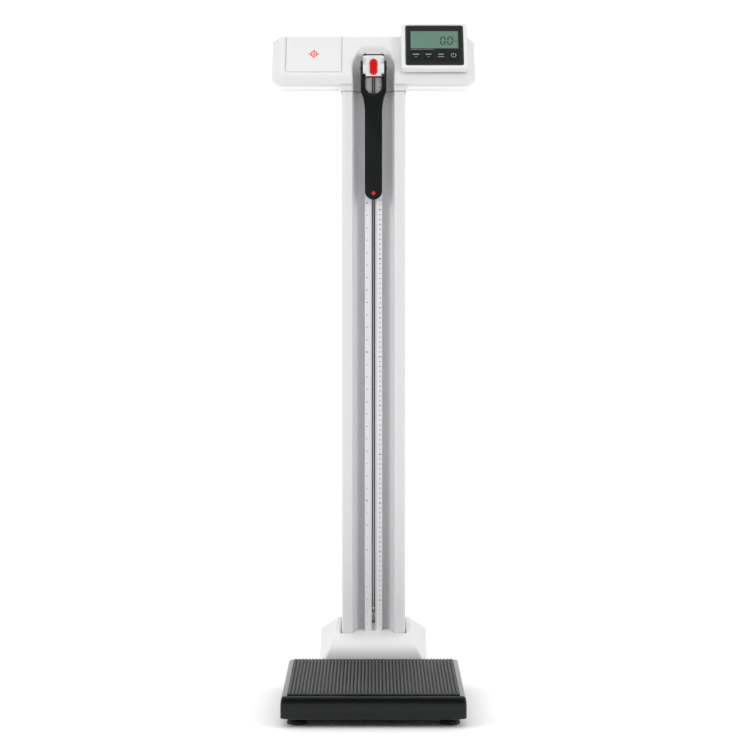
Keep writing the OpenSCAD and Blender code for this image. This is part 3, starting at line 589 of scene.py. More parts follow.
def base_cover():
    """Rows from nose to rear. On a row, half the width follows the cheek from the hem up
    to the row's own roof height, then runs in along the roof to the middle."""
    low, high = place("base_cover")
    column_low, column_high = place("column")
    front, rear, hem = low[1], high[1], low[2]
    crest, gap = column_low[1] - 10, 1.5
    roof_front, roof_rear, nose_z = 95.5, high[2], 40.0
    hole_x, hole_y = column_high[0] + gap, (column_low[1] - gap, column_high[1] + gap)
    turn = np.linspace(np.pi, np.pi / 2, 19)
    y = np.concatenate([crest + (crest - front) * np.cos(turn), [hole_y[0]],
                        np.linspace(hole_y[0], hole_y[1], 5)[1:], [rear]])
    roof = np.concatenate([nose_z + (roof_front - nose_z) * np.sin(turn),
                           roof_front + (roof_rear - roof_front) * (y[len(turn):] - crest) / (rear - crest)])
    share = (y - front) / (rear - front)
    cheek_x = np.stack([111 + 3 * share, 109 + 3 * share, 100.5 + 9.5 * share, 74 - 4.5 * share])
    cheek_z = np.stack([hem + 0 * share, 38 + 0 * share, 47 + 41 * share, 98 + 18 * share])
    half = []
    for lower in range(3):
        z0, z1 = np.minimum(cheek_z[lower], roof), np.minimum(cheek_z[lower + 1], roof)
        span = cheek_z[lower + 1] - cheek_z[lower]
        for step in (0.0, 0.5) if lower < 2 else (0.0, 0.34, 0.67, 1.0):
            z = z0 + (z1 - z0) * step
            risen = np.clip((z - cheek_z[lower]) / span, 0, 1)
            half.append((cheek_x[lower] + (cheek_x[lower + 1] - cheek_x[lower]) * risen, z))
    edge = half[-1][0]
    for x in (hole_x, 60.0, 30.0):
        half.append((np.minimum(edge, x) + 0 * share, roof))
    half = np.array(half)
    right = np.stack([half[:, 0], np.broadcast_to(y, half[:, 0].shape), half[:, 1]], -1).transpose(1, 0, 2)
    left = right[:, ::-1] * (-1, 1, 1)
    rows = np.concatenate([right, left], 1)
    faces = np.array(grid_faces(rows.shape[0], rows.shape[1]))
    points = rows.reshape(-1, 3)
    middle = points[faces].mean(1)
    open_top = (abs(middle[:, 0]) < hole_x) & (middle[:, 1] > hole_y[0]) & (middle[:, 1] < hole_y[1])
    faces = faces[~open_top].tolist()
    lip = np.array([(5, 27), (5, 18), (107.5, 18), (107.5, hem)], float)
    notch = np.array([(30, hem), (30, 42), (60, 42), (60, hem)], float)
    for row, at, cut in ((rows[0], front, lip), (rows[-1], rear, notch)):
        lower = np.concatenate([cut[::-1] * (-1, 1), cut])
        lower = np.column_stack([lower[:, 0], np.full(len(lower), at), lower[:, 1]])
        wall = np.concatenate([row, lower])
        order = list(range(len(points), len(points) + len(wall)))
        points = np.concatenate([points, wall])
        faces.append(order if at == rear else order[::-1])
    skin = faced_out(mesh_piece("base_shroud", points, faces, sharp=30), flat=0.4)
    return thick(skin, wall=3.0, bevel=1.3, turn=14)


white_abs = white_moulding("white_abs")
# The nose's front and the band of height above the mat where the painted shade lies.
nose_place = (place("base_cover")[0][1] * MM, place("tread_mat")[1][2] * MM, 0.088)
shroud = wear(white_moulding("white_abs_painted_shade", painted_shading=nose_place), base_cover())
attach(shroud, "scale")
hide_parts("base_cover")


# ---- Column ----
# An extruded aluminium tube, powder-coated white. Its front is folded in to a round-bottomed
# channel between two flat strips, and the outer corners are well rounded.
def column_half(inset):
    """Right half of the section: out of the channel along a quarter ellipse, over a small
    lip, along the front strip, round the front corner and round the back corner."""
    low, high = place("column")
    centre_y, back, side = low[1], high[1], high[0]
    half, flat, depth, corner, lip = side - 23, 19.0, 30.0, 9.0, 3.0
    turn = np.radians(np.linspace(90, math.degrees(math.asin(lip / (depth + inset))), 20))
    wall = np.column_stack([flat + (half - flat + inset) * np.cos(turn),
                            centre_y + (depth + inset) * np.sin(turn)])
    return np.concatenate([
        wall, corner_arc((half + lip, centre_y + lip), lip - inset, 180, 270, 7),
        corner_arc((side - corner, centre_y + corner), corner - inset, 270, 360, 10),
        corner_arc((side - corner, back - corner), corner - inset, 0, 90, 8)])


def both_halves(half):
    """A right half followed by its mirror image in reverse."""
    return np.concatenate([half, half[::-1] * (-1, 1)])


def column_tube():
    """The outer section carried up, turned in at the top and carried down the inside."""
    low, high = place("column")
    outer, inner = both_halves(column_half(0)), both_halves(column_half(2.5))
    top, foot = high[2] - 2.1, low[2]
    heights = np.concatenate([[foot], np.linspace(foot + 60, top - 60, 8), [top]])
    rings = [level(outer, z) for z in heights] + [level(inner, z) for z in (top, foot)]
    return lofted("painted_column", rings, round_rows=True, close=False)


def powder_coat():
    """White powder paint: orange peel about 2 mm across and a faint cloud of tone."""
    finish = Finish("white_powder_coat", Coat_Weight=0.12, Coat_Roughness=0.2)
    peel = finish.noise(480, 2)
    cloud = finish.noise(3, 3, (1, 1, 0.3))
    tone = finish.mix(finish.span(cloud, 0.3, 0.7), (0.70, 0.70, 0.708), (0.68, 0.683, 0.693))
    finish.set("Base Color", tone)
    finish.set("Roughness", finish.span(peel, 0.3, 0.7, 0.26, 0.36))
    return finish.bump(peel, 0.00003)


painted_tube = wear(powder_coat(), column_tube())
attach(painted_tube, "scale")
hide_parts("column")
wear(bright_steel, nodes["column_bolts"])


# ---- Small mouldings softened from their solids ----
# The channel's foot plug, the rod's cap, the carriage and the flap are injection moulded,
# so each edge that a hand meets has a small radius.
def softened(name, node, radius, segments=3, turn=32.0, rims=None):
    """A joined copy of a solid whose edges are rounded. Where rims picks an edge by its two
    ends, that edge takes the full radius and the others take 0.3 of it."""
    form = bmesh.new()
    form.from_mesh(nodes[node].data)
    bmesh.ops.remove_doubles(form, verts=form.verts, dist=5e-6)
    bmesh.ops.dissolve_degenerate(form, edges=form.edges, dist=5e-6)
    bmesh.ops.dissolve_limit(form, angle_limit=math.radians(0.5), verts=form.verts, edges=form.edges)
    bmesh.ops.recalc_face_normals(form, faces=form.faces)
    if rims:
        weight = form.edges.layers.float.new("bevel_weight_edge")
        for edge in form.edges:
            if edge.calc_face_angle(0) > math.radians(turn):
                edge[weight] = 1.0 if rims(*(np.array(v.co) / MM for v in edge.verts)) else 0.3
    mesh = bpy.data.meshes.new(name)
    form.to_mesh(mesh)
    form.free()
    mesh.shade_smooth()
    mesh.set_sharp_from_angle(angle=math.radians(35))
    piece = bpy.data.objects.new(name, mesh)
    scene.collection.objects.link(piece)
    thick(piece, bevel=radius, segments=segments, turn=turn)
    if rims:
        piece.modifiers["edges"].limit_method = "WEIGHT"
    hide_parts(node)
    return piece


plug = wear(white_abs, softened("channel_foot_plug", "channel_plug", 0.6))
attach(plug, "scale")
cap = wear(white_abs, softened("rod_end_cap", "rod_cap", 0.7))
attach(cap, "rod")


# ---- Rail and measuring rod ----
# The rail is a satin anodised aluminium box extrusion with a slot down its front. A narrower
# extrusion slides up inside it, stopped by one screw.
satin_aluminium = drawn_metal("satin_aluminium", (0.70, 0.71, 0.73), 0.34)
rod_aluminium = drawn_metal("rod_aluminium", (0.42, 0.43, 0.45), 0.3)
wear(satin_aluminium, nodes["rail"])
wear(rod_aluminium, nodes["inner_rod"])
wear(bright_steel, nodes["rail_screws"], nodes["rod_stop_screw"])


# ---- Printed rulers ----
# White polyester foils stuck to both sides of the slot and to the rod. Centimetres are
# printed on the right and inches on the left, each with its number and finer lines.
def foil():
    """White polyester foil."""
    finish = Finish("white_foil", Roughness=0.42)
    fleck = finish.noise(800, 2)
    finish.set("Base Color", finish.mix(finish.span(fleck, 0.3, 0.7), (0.66, 0.66, 0.67), (0.70, 0.70, 0.71)))
    return finish.bump(fleck, 0.00001)


def ink(name, tone):
    """Printing ink, a little uneven."""
    finish = Finish(name, Roughness=0.5)
    spread = finish.noise(1500, 2)
    thin = tuple(c * 1.4 + 0.004 for c in tone)
    finish.set("Base Color", finish.mix(finish.span(spread, 0.35, 0.65), tone, thin))
    return finish.bump(spread, 0.000008)


def glyphs(signs, height, weight=0.0):
    """Flat outlines of signs: for each one its points, its faces and its width. The height is
    that of a capital, 0.7 of the letter's size."""
    made = {}
    for sign in signs:
        curve = bpy.data.curves.new("sign", "FONT")
        curve.body = sign
        curve.size = height * MM / 0.7
        curve.offset = weight * MM
        curve.resolution_u = 2
        holder = bpy.data.objects.new("sign", curve)
        flat = bpy.data.meshes.new_from_object(holder)
        points = np.array([v.co[:2] for v in flat.vertices]) / MM
        points[:, 0] -= points[:, 0].min()
        made[sign] = (points, [list(f.vertices) for f in flat.polygons], points[:, 0].max())
        bpy.data.objects.remove(holder)
        bpy.data.curves.remove(curve)
        bpy.data.meshes.remove(flat)
    return made


class Print:
    """Flat marks gathered on one plane as points and faces."""

    def __init__(self):
        self.points, self.faces, self.count = [], [], 0

    def add(self, points, faces):
        self.points.append(np.asarray(points, float))
        self.faces += [[i + self.count for i in f] for f in faces]
        self.count += len(points)

    def bar(self, x0, x1, y0, y1):
        self.add([(x0, y0), (x1, y0), (x1, y1), (x0, y1)], [[0, 1, 2, 3]])

    def word(self, signs, text, x, y, height):
        """Signs side by side, centred on x and y."""
        gap = 0.22 * height
        x -= (sum(signs[c][2] for c in text) + gap * (len(text) - 1)) / 2
        for c in text:
            points, faces, wide = signs[c]
            self.add(points + (x, y - height / 2), faces)
            x += wide + gap

    def piece(self, name, plane):
        """The marks as one mesh, each point placed by a function of its two coordinates."""
        flat = np.concatenate(self.points)
        return mesh_piece(name, plane(flat[:, 0], flat[:, 1]), self.faces)


def ruler(name, y, low, high, zero, way, side_cm, side_inch, lines=()):
    """Marks on an upright foil: every millimetre a line, longer at 5 and 10, and a number
    each centimetre; an eighth of an inch on the other side with a number each inch. Body
    height is zero plus way times the height on the foil, all in millimetres. Lines run the
    foil's whole length."""
    small, large = (glyphs("0123456789", 2.3, 0.06), 2.3), (glyphs("0123456789", 3.0, 0.14), 3.0)
    eighth_inch = 3.175
    marks = Print()
    for x0, x1 in lines:
        marks.bar(x0, x1, low, high)
    first, last = sorted((zero + way * low, zero + way * high))
    for mm in range(math.ceil(first), math.floor(last)):
        z = (mm - zero) / way
        long = 3.6 if mm % 10 == 0 else 2.6 if mm % 5 == 0 else 1.7
        marks.bar(side_cm[0], side_cm[0] + long, z - 0.13, z + 0.13)
        if mm % 10 == 0:
            signs, tall = large if mm % 100 == 0 else small
            marks.word(signs, str(mm // 10), side_cm[1], z, tall)
    for eighth in range(math.ceil(first / eighth_inch), math.floor(last / eighth_inch)):
        z = (eighth * eighth_inch - zero) / way
        long = 3.6 if eighth % 8 == 0 else 2.4 if eighth % 4 == 0 else 1.6
        marks.bar(side_inch[0] - long, side_inch[0], z - 0.14, z + 0.14)
        if eighth % 8 == 0:
            signs, tall = large if eighth % 96 == 0 else small
            marks.word(signs, str(eighth // 8), side_inch[1], z, tall)
    return marks.piece(name, lambda x, z: np.stack([x, np.full_like(x, y), z], -1))


wear(foil(), nodes["scale_foils"], nodes["rod_scale"])
black_ink_and_painted_shade = ink("black_ink_and_painted_shade", (0.03, 0.032, 0.035))
platform_top = place("tread_mat")[1][2]
foil_low, foil_high = place("scale_foils")
PRINT_PROUD = 0.04
rail_print = ruler("rail_print", foil_low[1] - PRINT_PROUD, foil_low[2] + 8, foil_high[2] - 3,
                   zero=-platform_top, way=1, side_cm=(4.6, 13.2), side_inch=(-4.6, -13.2))
wear(black_ink_and_painted_shade, rail_print)
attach(rail_print, "scale")
strip_low, strip_high = place("rod_scale")
read_low = place("reading_line")[0][2]
# Painted shade: the two dark lines on the rod's foil darken the rail's slot, where the rod shows through.
rod_print_and_shade_lines = ruler("rod_print_and_shade_lines", strip_low[1] - PRINT_PROUD, strip_low[2] + 6, strip_high[2] - 4,
                  zero=read_low - platform_top + strip_high[2], way=-1, side_cm=(3.7, 9.8),
                  side_inch=(-3.7, -9.8), lines=((-3.5, -0.9), (0.9, 3.5)))
wear(black_ink_and_painted_shade, rod_print_and_shade_lines)
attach(rod_print_and_shade_lines, "rod")


# ---- Carriage ----
# A white ABS slider that clasps the rail. Its red line is the reading mark; a sprung red
# button lets go of the brake that holds it, and two red pins carry the flap.
def red_moulding():
    """Red ABS with a fine grain."""
    finish = Finish("red_abs", Specular_IOR_Level=0.3)
    grain = finish.noise(800, 2)
    finish.set("Base Color", finish.mix(grain, (0.62, 0.004, 0.002), (0.56, 0.003, 0.002)))
    finish.set("Roughness", finish.span(grain, 0.3, 0.7, 0.28, 0.36))
    return finish.bump(grain, 0.00002)


red_abs = red_moulding()
slider = wear(white_abs, softened("carriage_slider", "carriage", 0.8))
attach(slider, "carriage")
wear(red_abs, nodes["flap_pins"])
wear(ink("reading_red", (0.22, 0.003, 0.003)), nodes["reading_line"])


def carriage_brow():
    """A rounded rectangle carried forwards and shrunk by a small round: it fills the pad's
    upper corners out to the sleeve's width."""
    low, high = place("carriage")
    rear = 157.5
    rings = []
    for inset, y in [(0.0, rear), (0.0, low[1] + 3.2), (0.3, low[1] + 2.3), (1.1, low[1] + 1.6)]:
        flat = outline((0, high[2] - 3.5), (high[0] - 0.1 - inset, 3.4 - inset), 2.6 - inset, 7)
        rings.append(np.column_stack([flat[:, 0], np.full(len(flat), y), flat[:, 1]]))
    return lofted("carriage_brow", rings)


brow = wear(white_abs, carriage_brow())
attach(brow, "carriage")


def button_cap():
    """A stadium outline shrunk along a quarter ellipse: full size at the back, domed at the
    front."""
    low, high = place("red_button")
    centre_z = (low[2] + high[2]) / 2
    front, deep, dome, shrink = low[1], 8.2, 1.6, 4.6
    half_w, half_l = 7.2, 15.5
    turn = np.linspace(0, np.pi / 2, 8)
    steps = [(0.0, front + deep), (0.0, front + dome)]
    steps += [(shrink * (1 - math.cos(a)), front + dome - dome * math.sin(a)) for a in turn[1:]]
    rings = []
    for inset, y in steps:
        flat = outline((0, centre_z), (half_w - inset, half_l - inset), half_w - inset - 0.01, 12)
        rings.append(np.column_stack([flat[:, 0], np.full(len(flat), y), flat[:, 1]]))
    return lofted("release_button", rings, sharp=50)


button = wear(red_abs, button_cap())
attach(button, "button")
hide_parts("red_button")
wear(bright_steel, nodes["button_spring"], nodes["lever_pin"])
wear(red_abs, nodes["brake_lever"])


# ---- Head flap ----
# A black soft-touch moulding that hangs on the carriage and folds out level over the head.
# A U-shaped window with a wide rounded rim keeps the reading line in sight.
BLADE_FRONT, WINDOW_HALF, WINDOW_FOOT = 149.0, 16.4, 1190


def window_rim(a, b):
    """Whether an edge with these two ends runs along the front of the window."""
    inside = max(abs(a[0]), abs(b[0])) < WINDOW_HALF and min(a[2], b[2]) > WINDOW_FOOT
    return inside and max(a[1], b[1]) < BLADE_FRONT + 0.2


def soft_touch():
    """Matt black, a little shinier and paler where hands hold it."""
    finish = Finish("soft_touch_black", Specular_IOR_Level=0.24)
    grain = finish.noise(1200, 2)
    hands = finish.noise(16, 3)
    tone = finish.mix(finish.span(hands, 0.4, 0.7), (0.0045, 0.0052, 0.0052), (0.0065, 0.0075, 0.0075))
    finish.set("Base Color", tone)
    finish.set("Roughness", finish.span(hands, 0.4, 0.7, 0.36, 0.44))
    return finish.bump(grain, 0.00002)


blade = wear(soft_touch(), softened("head_flap_blade", "flap", 3.2, segments=4, rims=window_rim))
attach(blade, "head_flap")


# ---- Head ----
# Two white ABS shells screwed to the frame across the column's top, 2.5 mm thick. The front
# slopes back, its lower edge is a wide round, and the column's channel runs up into it and
# fades out. The battery lid's opening is cut from the left of the same surface.
column_low, column_high = place("column")
head_side, head_rear, head_top = place("head_back")[1]
split_y, head_z = place("head_back")[0][1], column_high[2] - 2
LEAN = math.radians(33)
NOSE_R, CREST_R, HEAD_WALL = 18.0, 6.0, 2.5
nose = np.array([column_low[1] + 6.2, column_high[2] + 13.2])
uphill = np.array([math.sin(LEAN), math.cos(LEAN)])
outward = np.array([-math.cos(LEAN), math.sin(LEAN)])
slope_start = nose + NOSE_R * outward
crest_rise = (head_top - CREST_R - slope_start[1] + CREST_R * outward[1]) / uphill[1]
crest = slope_start + crest_rise * uphill - CREST_R * outward
MOUTH_FLAT, MOUTH_DEPTH = 19.0, 29.7
mouth_y, mouth_half = column_low[1], column_high[0] - 23.3
floor_y = mouth_y + MOUTH_DEPTH
lid_low, lid_high = place("battery_lid")
LID_S, LID_GAP, LID_R, LID_MARGIN = 5.75, 0.5, 4.0, 5.5
# Where the grid's rows cross the slope and where its columns stand, the lid's corners included
corner_s = LID_S - LID_GAP + np.array([-2.25, 0, 2.25, LID_R + LID_GAP])
slope_marks = np.concatenate([corner_s, np.linspace(13, 72, 22), [80, 90]])
corner_x = np.linspace(LID_MARGIN, -LID_R - LID_GAP, 4)
plain_x = [150, 130, 110, 90]
columns = np.concatenate([[190 - 1.5], -lid_low[0] + LID_GAP + corner_x, plain_x,
                          -lid_high[0] - LID_GAP - corner_x[::-1]])
NOSE_STEPS = 14


def front_outline(g):
    """The front shell's side outline shrunk by g: along the bottom to the nose, round it, up
    the slope, round the crest (a point once g passes its radius) and back to the split."""
    low_turn = 180 + math.degrees(math.asin((nose[1] - head_z - g) / (NOSE_R - g)))
    lean = 180 - math.degrees(LEAN)
    start = nose + (NOSE_R - g) * outward
    if g < CREST_R:
        over = corner_arc(crest, CREST_R - g, lean, 90, 7)
    else:
        top = head_top - g
        over = np.tile(start + uphill * (top - start[1]) / uphill[1], (7, 1))
    slope = start + (over[0] - start) * (slope_marks / crest_rise)[:, None]
    return np.concatenate([[[split_y, head_z + g]], corner_arc(nose, NOSE_R - g, low_turn, lean, NOSE_STEPS),
                           slope, over, [[split_y, head_top - g]]])


def back_outline(g):
    """The back shell's side outline shrunk by g, from the split over the top and down."""
    upper, lower = max(CREST_R - g, 0.01), max(3 - g, 0.01)
    return np.concatenate([
        [[split_y, head_top - g]], corner_arc((head_rear - g - upper, head_top - g - upper), upper, 90, 0, 7),
        corner_arc((head_rear - g - lower, head_z + g + lower), lower, 0, -90, 5), [[split_y, head_z + g]]])


def head_row(p, z):
    """Right half of one row at depth p: level, round the fillet at the channel's mouth, along
    the channel's quarter ellipse and across its floor. The fillet's centre is its radius
    behind p, on an ellipse wider than the channel by that radius."""
    half = mouth_half - MOUTH_FLAT
    fillet_steps, channel_steps = 13, 14
    if p >= floor_y - 0.02:
        bend = np.tile((MOUTH_FLAT, p), (fillet_steps + channel_steps, 1))
    else:
        r = 5.0 + 9.0 * max(0.0, (p - mouth_y) / MOUTH_DEPTH) ** 2
        reach = max(0.0, (p + r - mouth_y) / (MOUTH_DEPTH + r))
        turn = math.asin(min(1.0, reach))
        centre = (MOUTH_FLAT + (half + r) * math.cos(turn), p + r)
        ellipse = np.linspace(turn, np.pi / 2, channel_steps)
        bend = np.concatenate([
            corner_arc(centre, r, -90, -180 + math.degrees(turn), fillet_steps),
            np.column_stack([MOUTH_FLAT + half * np.cos(ellipse),
                             mouth_y + MOUTH_DEPTH * np.sin(ellipse)])])
    level_part = np.column_stack([columns, np.full(len(columns), p)])
    flat = np.concatenate([level_part, bend, [(0.0, max(p, floor_y))]])
    return np.column_stack([flat, np.full(len(flat), z)])


# How far each ring at the head's end stands short of it, and how far its outline is shrunk
END_TURNS = [(0.0, 12.9), (0.4, 12.0), (1.4, 11.0), (15.5, 1.06), (17.0, 0.25)]


def head_grid(side_outline):
    """Rows of the outline by columns from the right end to the left end. Underneath, a row
    behind the channel's floor keeps the shape of the row beside it."""
    profile = side_outline(0)
    half = np.array([head_row(y, z) for y, z in profile])
    for row, (y, z) in enumerate(profile):
        if abs(z - head_z) < 0.01 and y > floor_y:
            beside = half[1] if row == 0 else half[row - 1]
            half[row] = np.stack([beside[:, 0], np.full(len(beside), y), beside[:, 2]], -1)
    ends = []
    for short, g in END_TURNS:
        flat = side_outline(g)
        ends.append(np.column_stack([np.full(len(flat), head_side - short), flat]))
    half = np.concatenate([np.array(ends).transpose(1, 0, 2), half], 1)
    return np.concatenate([half, half[:, -2::-1] * (-1, 1, 1)], 1)


def head_front():
    """The grid with the lid's field left out, and a U-shaped band of quads between the edge
    of that field and the opening's rounded outline. Both ends are closed."""
    grid = head_grid(front_outline)
    rows, cols = grid.shape[:2]
    faces = np.array(grid_faces(rows, cols))
    left = {k: cols - 1 - (len(END_TURNS) + k) for k in range(len(columns))}
    first_row, first_col, last_col = 1 + NOSE_STEPS, left[len(columns) - 1], left[1]
    row, col = faces[:, 0] // cols, faces[:, 0] % cols
    field = (row >= first_row) & (col >= first_col) & (col < last_col)
    faces = faces[~field].tolist()
    faces += [list(range(0, rows * cols, cols))[::-1], list(range(cols - 1, rows * cols, cols))]
    outer = [grid[r, last_col] for r in range(rows - 1, first_row - 1, -1)]
    outer += [grid[first_row, left[k]] for k in range(2, len(columns))]
    outer += [grid[r, first_col] for r in range(first_row + 1, rows)]
    corner_row = first_row + 3
    r = LID_R + LID_GAP
    x0, x1, s0 = lid_low[0] - LID_GAP, lid_high[0] + LID_GAP, LID_S - LID_GAP
    bend = np.concatenate([corner_arc((x0 + r, s0 + r), r, 180, 270, 7)[1:], [(-x, s0) for x in plain_x],
                           corner_arc((x1 - r, s0 + r), r, 270, 360, 7)])
    inner = [(x0, *grid[row, last_col][1:]) for row in range(rows - 1, corner_row - 1, -1)]
    inner += [(x, *(slope_start + uphill * s)) for x, s in bend]
    inner += [(x1, *grid[row, first_col][1:]) for row in range(corner_row + 1, rows)]
    points = np.concatenate([grid.reshape(-1, 3), outer, inner])
    faces += [f[::-1] for f in grid_faces(2, len(outer), first=rows * cols)]
    return points, faces


def head_back():
    """The whole grid, with both ends closed."""
    grid = head_grid(back_outline)
    rows, cols = grid.shape[:2]
    faces = grid_faces(rows, cols)
    faces += [list(range(0, rows * cols, cols))[::-1], list(range(cols - 1, rows * cols, cols))]
    return grid.reshape(-1, 3), faces


def shell(name, points, faces):
    """A skin with its faces turned outwards, given the head's wall."""
    return thick(faced_out(mesh_piece(name, points, faces, sharp=28)), wall=HEAD_WALL)


front_shell = wear(white_abs, shell("head_front_shell", *head_front()))
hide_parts("head_front")
back_shell = wear(white_abs, shell("head_back_shell", *head_back()))
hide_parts("head_back")
for part in (front_shell, back_shell):
    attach(part, "scale")
wear(bright_steel, nodes["head_screws"])


# ---- Collar under the head ----
# The head's underside runs down to the column in a cove, and ends in a lip 2 mm proud of
# the column. It is part of the front shell and is open over the channel. A thin band of grey
# rubber below the lip draws the dark line at the joint: painted shade.
collar_z = head_z - 8


def collar():
    """The column's outline grown by e, with the channel left as it is, lifted to z. Both
    follow a lip 1.5 mm high and then a quarter circle of 9 mm."""
    lip, cove, proud = 1.5, 9, 2
    turn = np.radians(np.linspace(90, 0, 14))
    mouth = np.column_stack([MOUTH_FLAT + (mouth_half - MOUTH_FLAT) * np.cos(turn),
                             mouth_y + MOUTH_DEPTH * np.sin(turn)])
    steps = [(-1.9, 0.0), (0, 0), (0.0, lip)]
    steps += [(cove * (1 - math.cos(a)), lip + cove * math.sin(a)) for a in np.linspace(0.15, np.pi / 2, 9)]
    side, back, rings = column_high[0] + proud, column_high[1] + proud, []
    for e, rise in steps:
        front, corner = mouth_y - proud - e, 10 + max(e, -1.5)
        half = np.concatenate([
            mouth, corner_arc((mouth_half + 2.5, front + 2.5), 2.5, 180, 270, 5),
            corner_arc((side + e - corner, front + corner), corner, 270, 360, 8),
            corner_arc((side + e - corner, back + e - corner), corner, 0, 90, 8)])
        rings.append(level(both_halves(half), collar_z + rise))
    return lofted("head_collar", rings, sharp=40)


def collar_shade_band():
    """The column's outline grown by 0.3 to 1.2 mm, a band 0.9 mm high below the collar. It is
    painted shade: a dark line at the joint.
    """
    rings = [level(both_halves(column_half(-e)), collar_z + rise)
             for e, rise in ((0.3, 0.2), (0.3, -0.9), (1.2, -0.9), (1.2, 0.2))]
    return lofted("collar_shade_band", rings, round_rows=True, close=False)


neck = wear(white_abs, collar())
shade_band = wear(soft_rubber("grey_rubber_shade_band", (0.10, 0.10, 0.10)), collar_shade_band())
for part in (neck, shade_band):
    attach(part, "scale")


# ---- Battery lid ----
# A white cover cut from the same form as the head, so its face is flush. It wraps over the
# crest, and lifts off a black tray with six cells.
def battery_lid():
    """Rows up the slope and over the crest by columns across. Below the corner radius each
    row is shorter by the quarter circle's depth at that height."""
    turn = np.linspace(0, np.pi / 2, 7)
    across = 9
    s = np.concatenate([LID_S + LID_R * (1 - np.cos(turn)), np.linspace(14, 90, 9)])
    slope = slope_start + uphill * s[:, None]
    over = corner_arc(crest, CREST_R, 180 - math.degrees(LEAN), 90, 7)
    profile = np.concatenate([slope, over, [[lid_high[1], head_top]]])
    short = np.zeros(len(profile))
    short[:len(turn)] = LID_R * (1 - np.sin(turn))
    share = np.linspace(0, 1, across)[None, :]
    x = (lid_low[0] + short)[:, None] * (1 - share) + (lid_high[0] - short)[:, None] * share
    points = np.stack(np.broadcast_arrays(x, profile[:, :1], profile[:, 1:]), -1)
    return shell("battery_cover", points, grid_faces(len(profile), across))


def cell_wrap():
    """Black foil with a copper-coloured end on each 54.7 mm cell."""
    finish = Finish("cell_wrap", Metallic=0.4, Roughness=0.3)
    along = finish.node("ShaderNodeSeparateXYZ", Vector=finish.place)["X"]
    gleam = finish.noise(60, 2)
    tone = finish.mix(finish.span(gleam, 0.3, 0.7), (0.012, 0.012, 0.013), (0.03, 0.03, 0.032))
    copper_end = ((along + 1) / 0.0547).math("FRACT") > 0.72
    finish.set("Base Color", finish.mix(copper_end, tone, (0.55, 0.33, 0.06)))
    return finish.bump(gleam, 0.00001)


lid = wear(white_abs, battery_lid())
thick(lid, bevel=0.45, segments=2, turn=50)
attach(lid, "lid")
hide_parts("battery_lid")
wear(cell_wrap(), nodes["batteries"])
wear(black_abs, nodes["battery_tray"])
wear(bright_steel, nodes["battery_contacts"])


# ---- Display case ----
# A white ABS case in two halves screwed to the head's slope. The front half has a rounded
# rim round a recess for the printed panel, and the back half tapers towards the head.
panel_low, panel_high = place("display_panel")
DISPLAY_X = (panel_low[0] + panel_high[0]) / 2
CASE_W, CASE_S0, CASE_S1, CASE_R, CASE_DEPTH = 68.0, 0.75, 119.15, 8.0, 17.0
PANEL_W, PANEL_S0, PANEL_S1, PANEL_R = 59.0, 9.25, 112.95, 5.0


def on_slope(x, s, rise):
    """Points of the display: across from its middle, up the slope, and out from the face."""
    x, s, rise = np.broadcast_arrays(x, s, rise)
    y = slope_start[0] + s * uphill[0] + rise * outward[0]
    z = slope_start[1] + s * uphill[1] + rise * outward[1]
    return np.stack([DISPLAY_X + x, y, z], -1)


def case_ring(inset, rise, size=(CASE_W, CASE_S0, CASE_S1, CASE_R)):
    """A rounded rectangle on the slope, shrunk by an inset."""
    half_w, s0, s1, radius = size
    flat = outline((0, (s0 + s1) / 2), (half_w - inset, (s1 - s0) / 2 - inset), max(radius - inset, 0.5), 9)
    return on_slope(flat[:, 0], flat[:, 1], rise)


def display_case():
    """The front half: up the outer wall, over a 2.2 mm round, level across the rim, round
    into the panel's recess, and back down the inside. The back half: outwards and up."""
    gap, rim, lip = 0.15, 2.2, 0.9
    panel = (PANEL_W + gap, PANEL_S0 - gap, PANEL_S1 + gap, PANEL_R)
    rings = [case_ring(2.5, 5.05), case_ring(0.3, 5.05), case_ring(0, 5.4), case_ring(0, 9)]
    rings += [case_ring(rim - rim * math.cos(a), CASE_DEPTH - rim + rim * math.sin(a))
              for a in np.linspace(0, np.pi / 2, 7)]
    rings += [case_ring(-lip + lip * math.sin(a), CASE_DEPTH - lip + lip * math.cos(a), panel)
              for a in np.linspace(0, np.pi / 2, 4)]
    rings += [case_ring(0, 15.2, panel), case_ring(2.5, 13.5)]
    front = lofted("display_case_front", rings, round_rows=True, close=False, sharp=40)
    back = lofted("display_case_back", [case_ring(5.2, 0.3), case_ring(4.4, 0.5), case_ring(1.0, 4.4),
                                        case_ring(0.7, 5.0)], sharp=50)
    return front, back


case_front, case_back = display_case()
for part, node in ((case_front, "display_front"), (case_back, "display_back")):
    wear(white_abs, part)
    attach(part, "scale")
    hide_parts(node)


# ---- Display panel, screen and keys ----
# A printed polyester film, dark grey with a darker edge, over a reflective LCD and four
# membrane keys. The segments, the frame lines and the key signs lie flat on them.
def panel_film(name, tone):
    """Printed polyester film with a very fine grain."""
    finish = Finish(name, Specular_IOR_Level=0.1)
    grain = finish.noise(1500, 2)
    finish.set("Base Color", finish.mix(finish.noise(12, 2), tone, tuple(c * 1.12 for c in tone)))
    finish.set("Roughness", finish.span(grain, 0.3, 0.7, 0.3, 0.4))
    return finish.bump(grain, 0.00001)


def lcd_glass():
    """A grey-green reflector, faintly clouded, with a very fine dot texture."""
    finish = Finish("lcd_glass", Specular_IOR_Level=0.15)
    dots = finish.node("ShaderNodeTexVoronoi", Vector=finish.place, Scale=1800)["Distance"]
    cloud = finish.noise(16, 2)
    tone = finish.mix(finish.span(cloud, 0.3, 0.7), (0.105, 0.190, 0.146), (0.116, 0.206, 0.159))
    finish.set("Base Color", finish.mix(finish.span(dots, 0.2, 0.8, 0, 0.12), tone, (0.14, 0.24, 0.19)))
    finish.set("Roughness", finish.span(cloud, 0.3, 0.7, 0.3, 0.4))
    return finish.bump(dots, 0.000005)


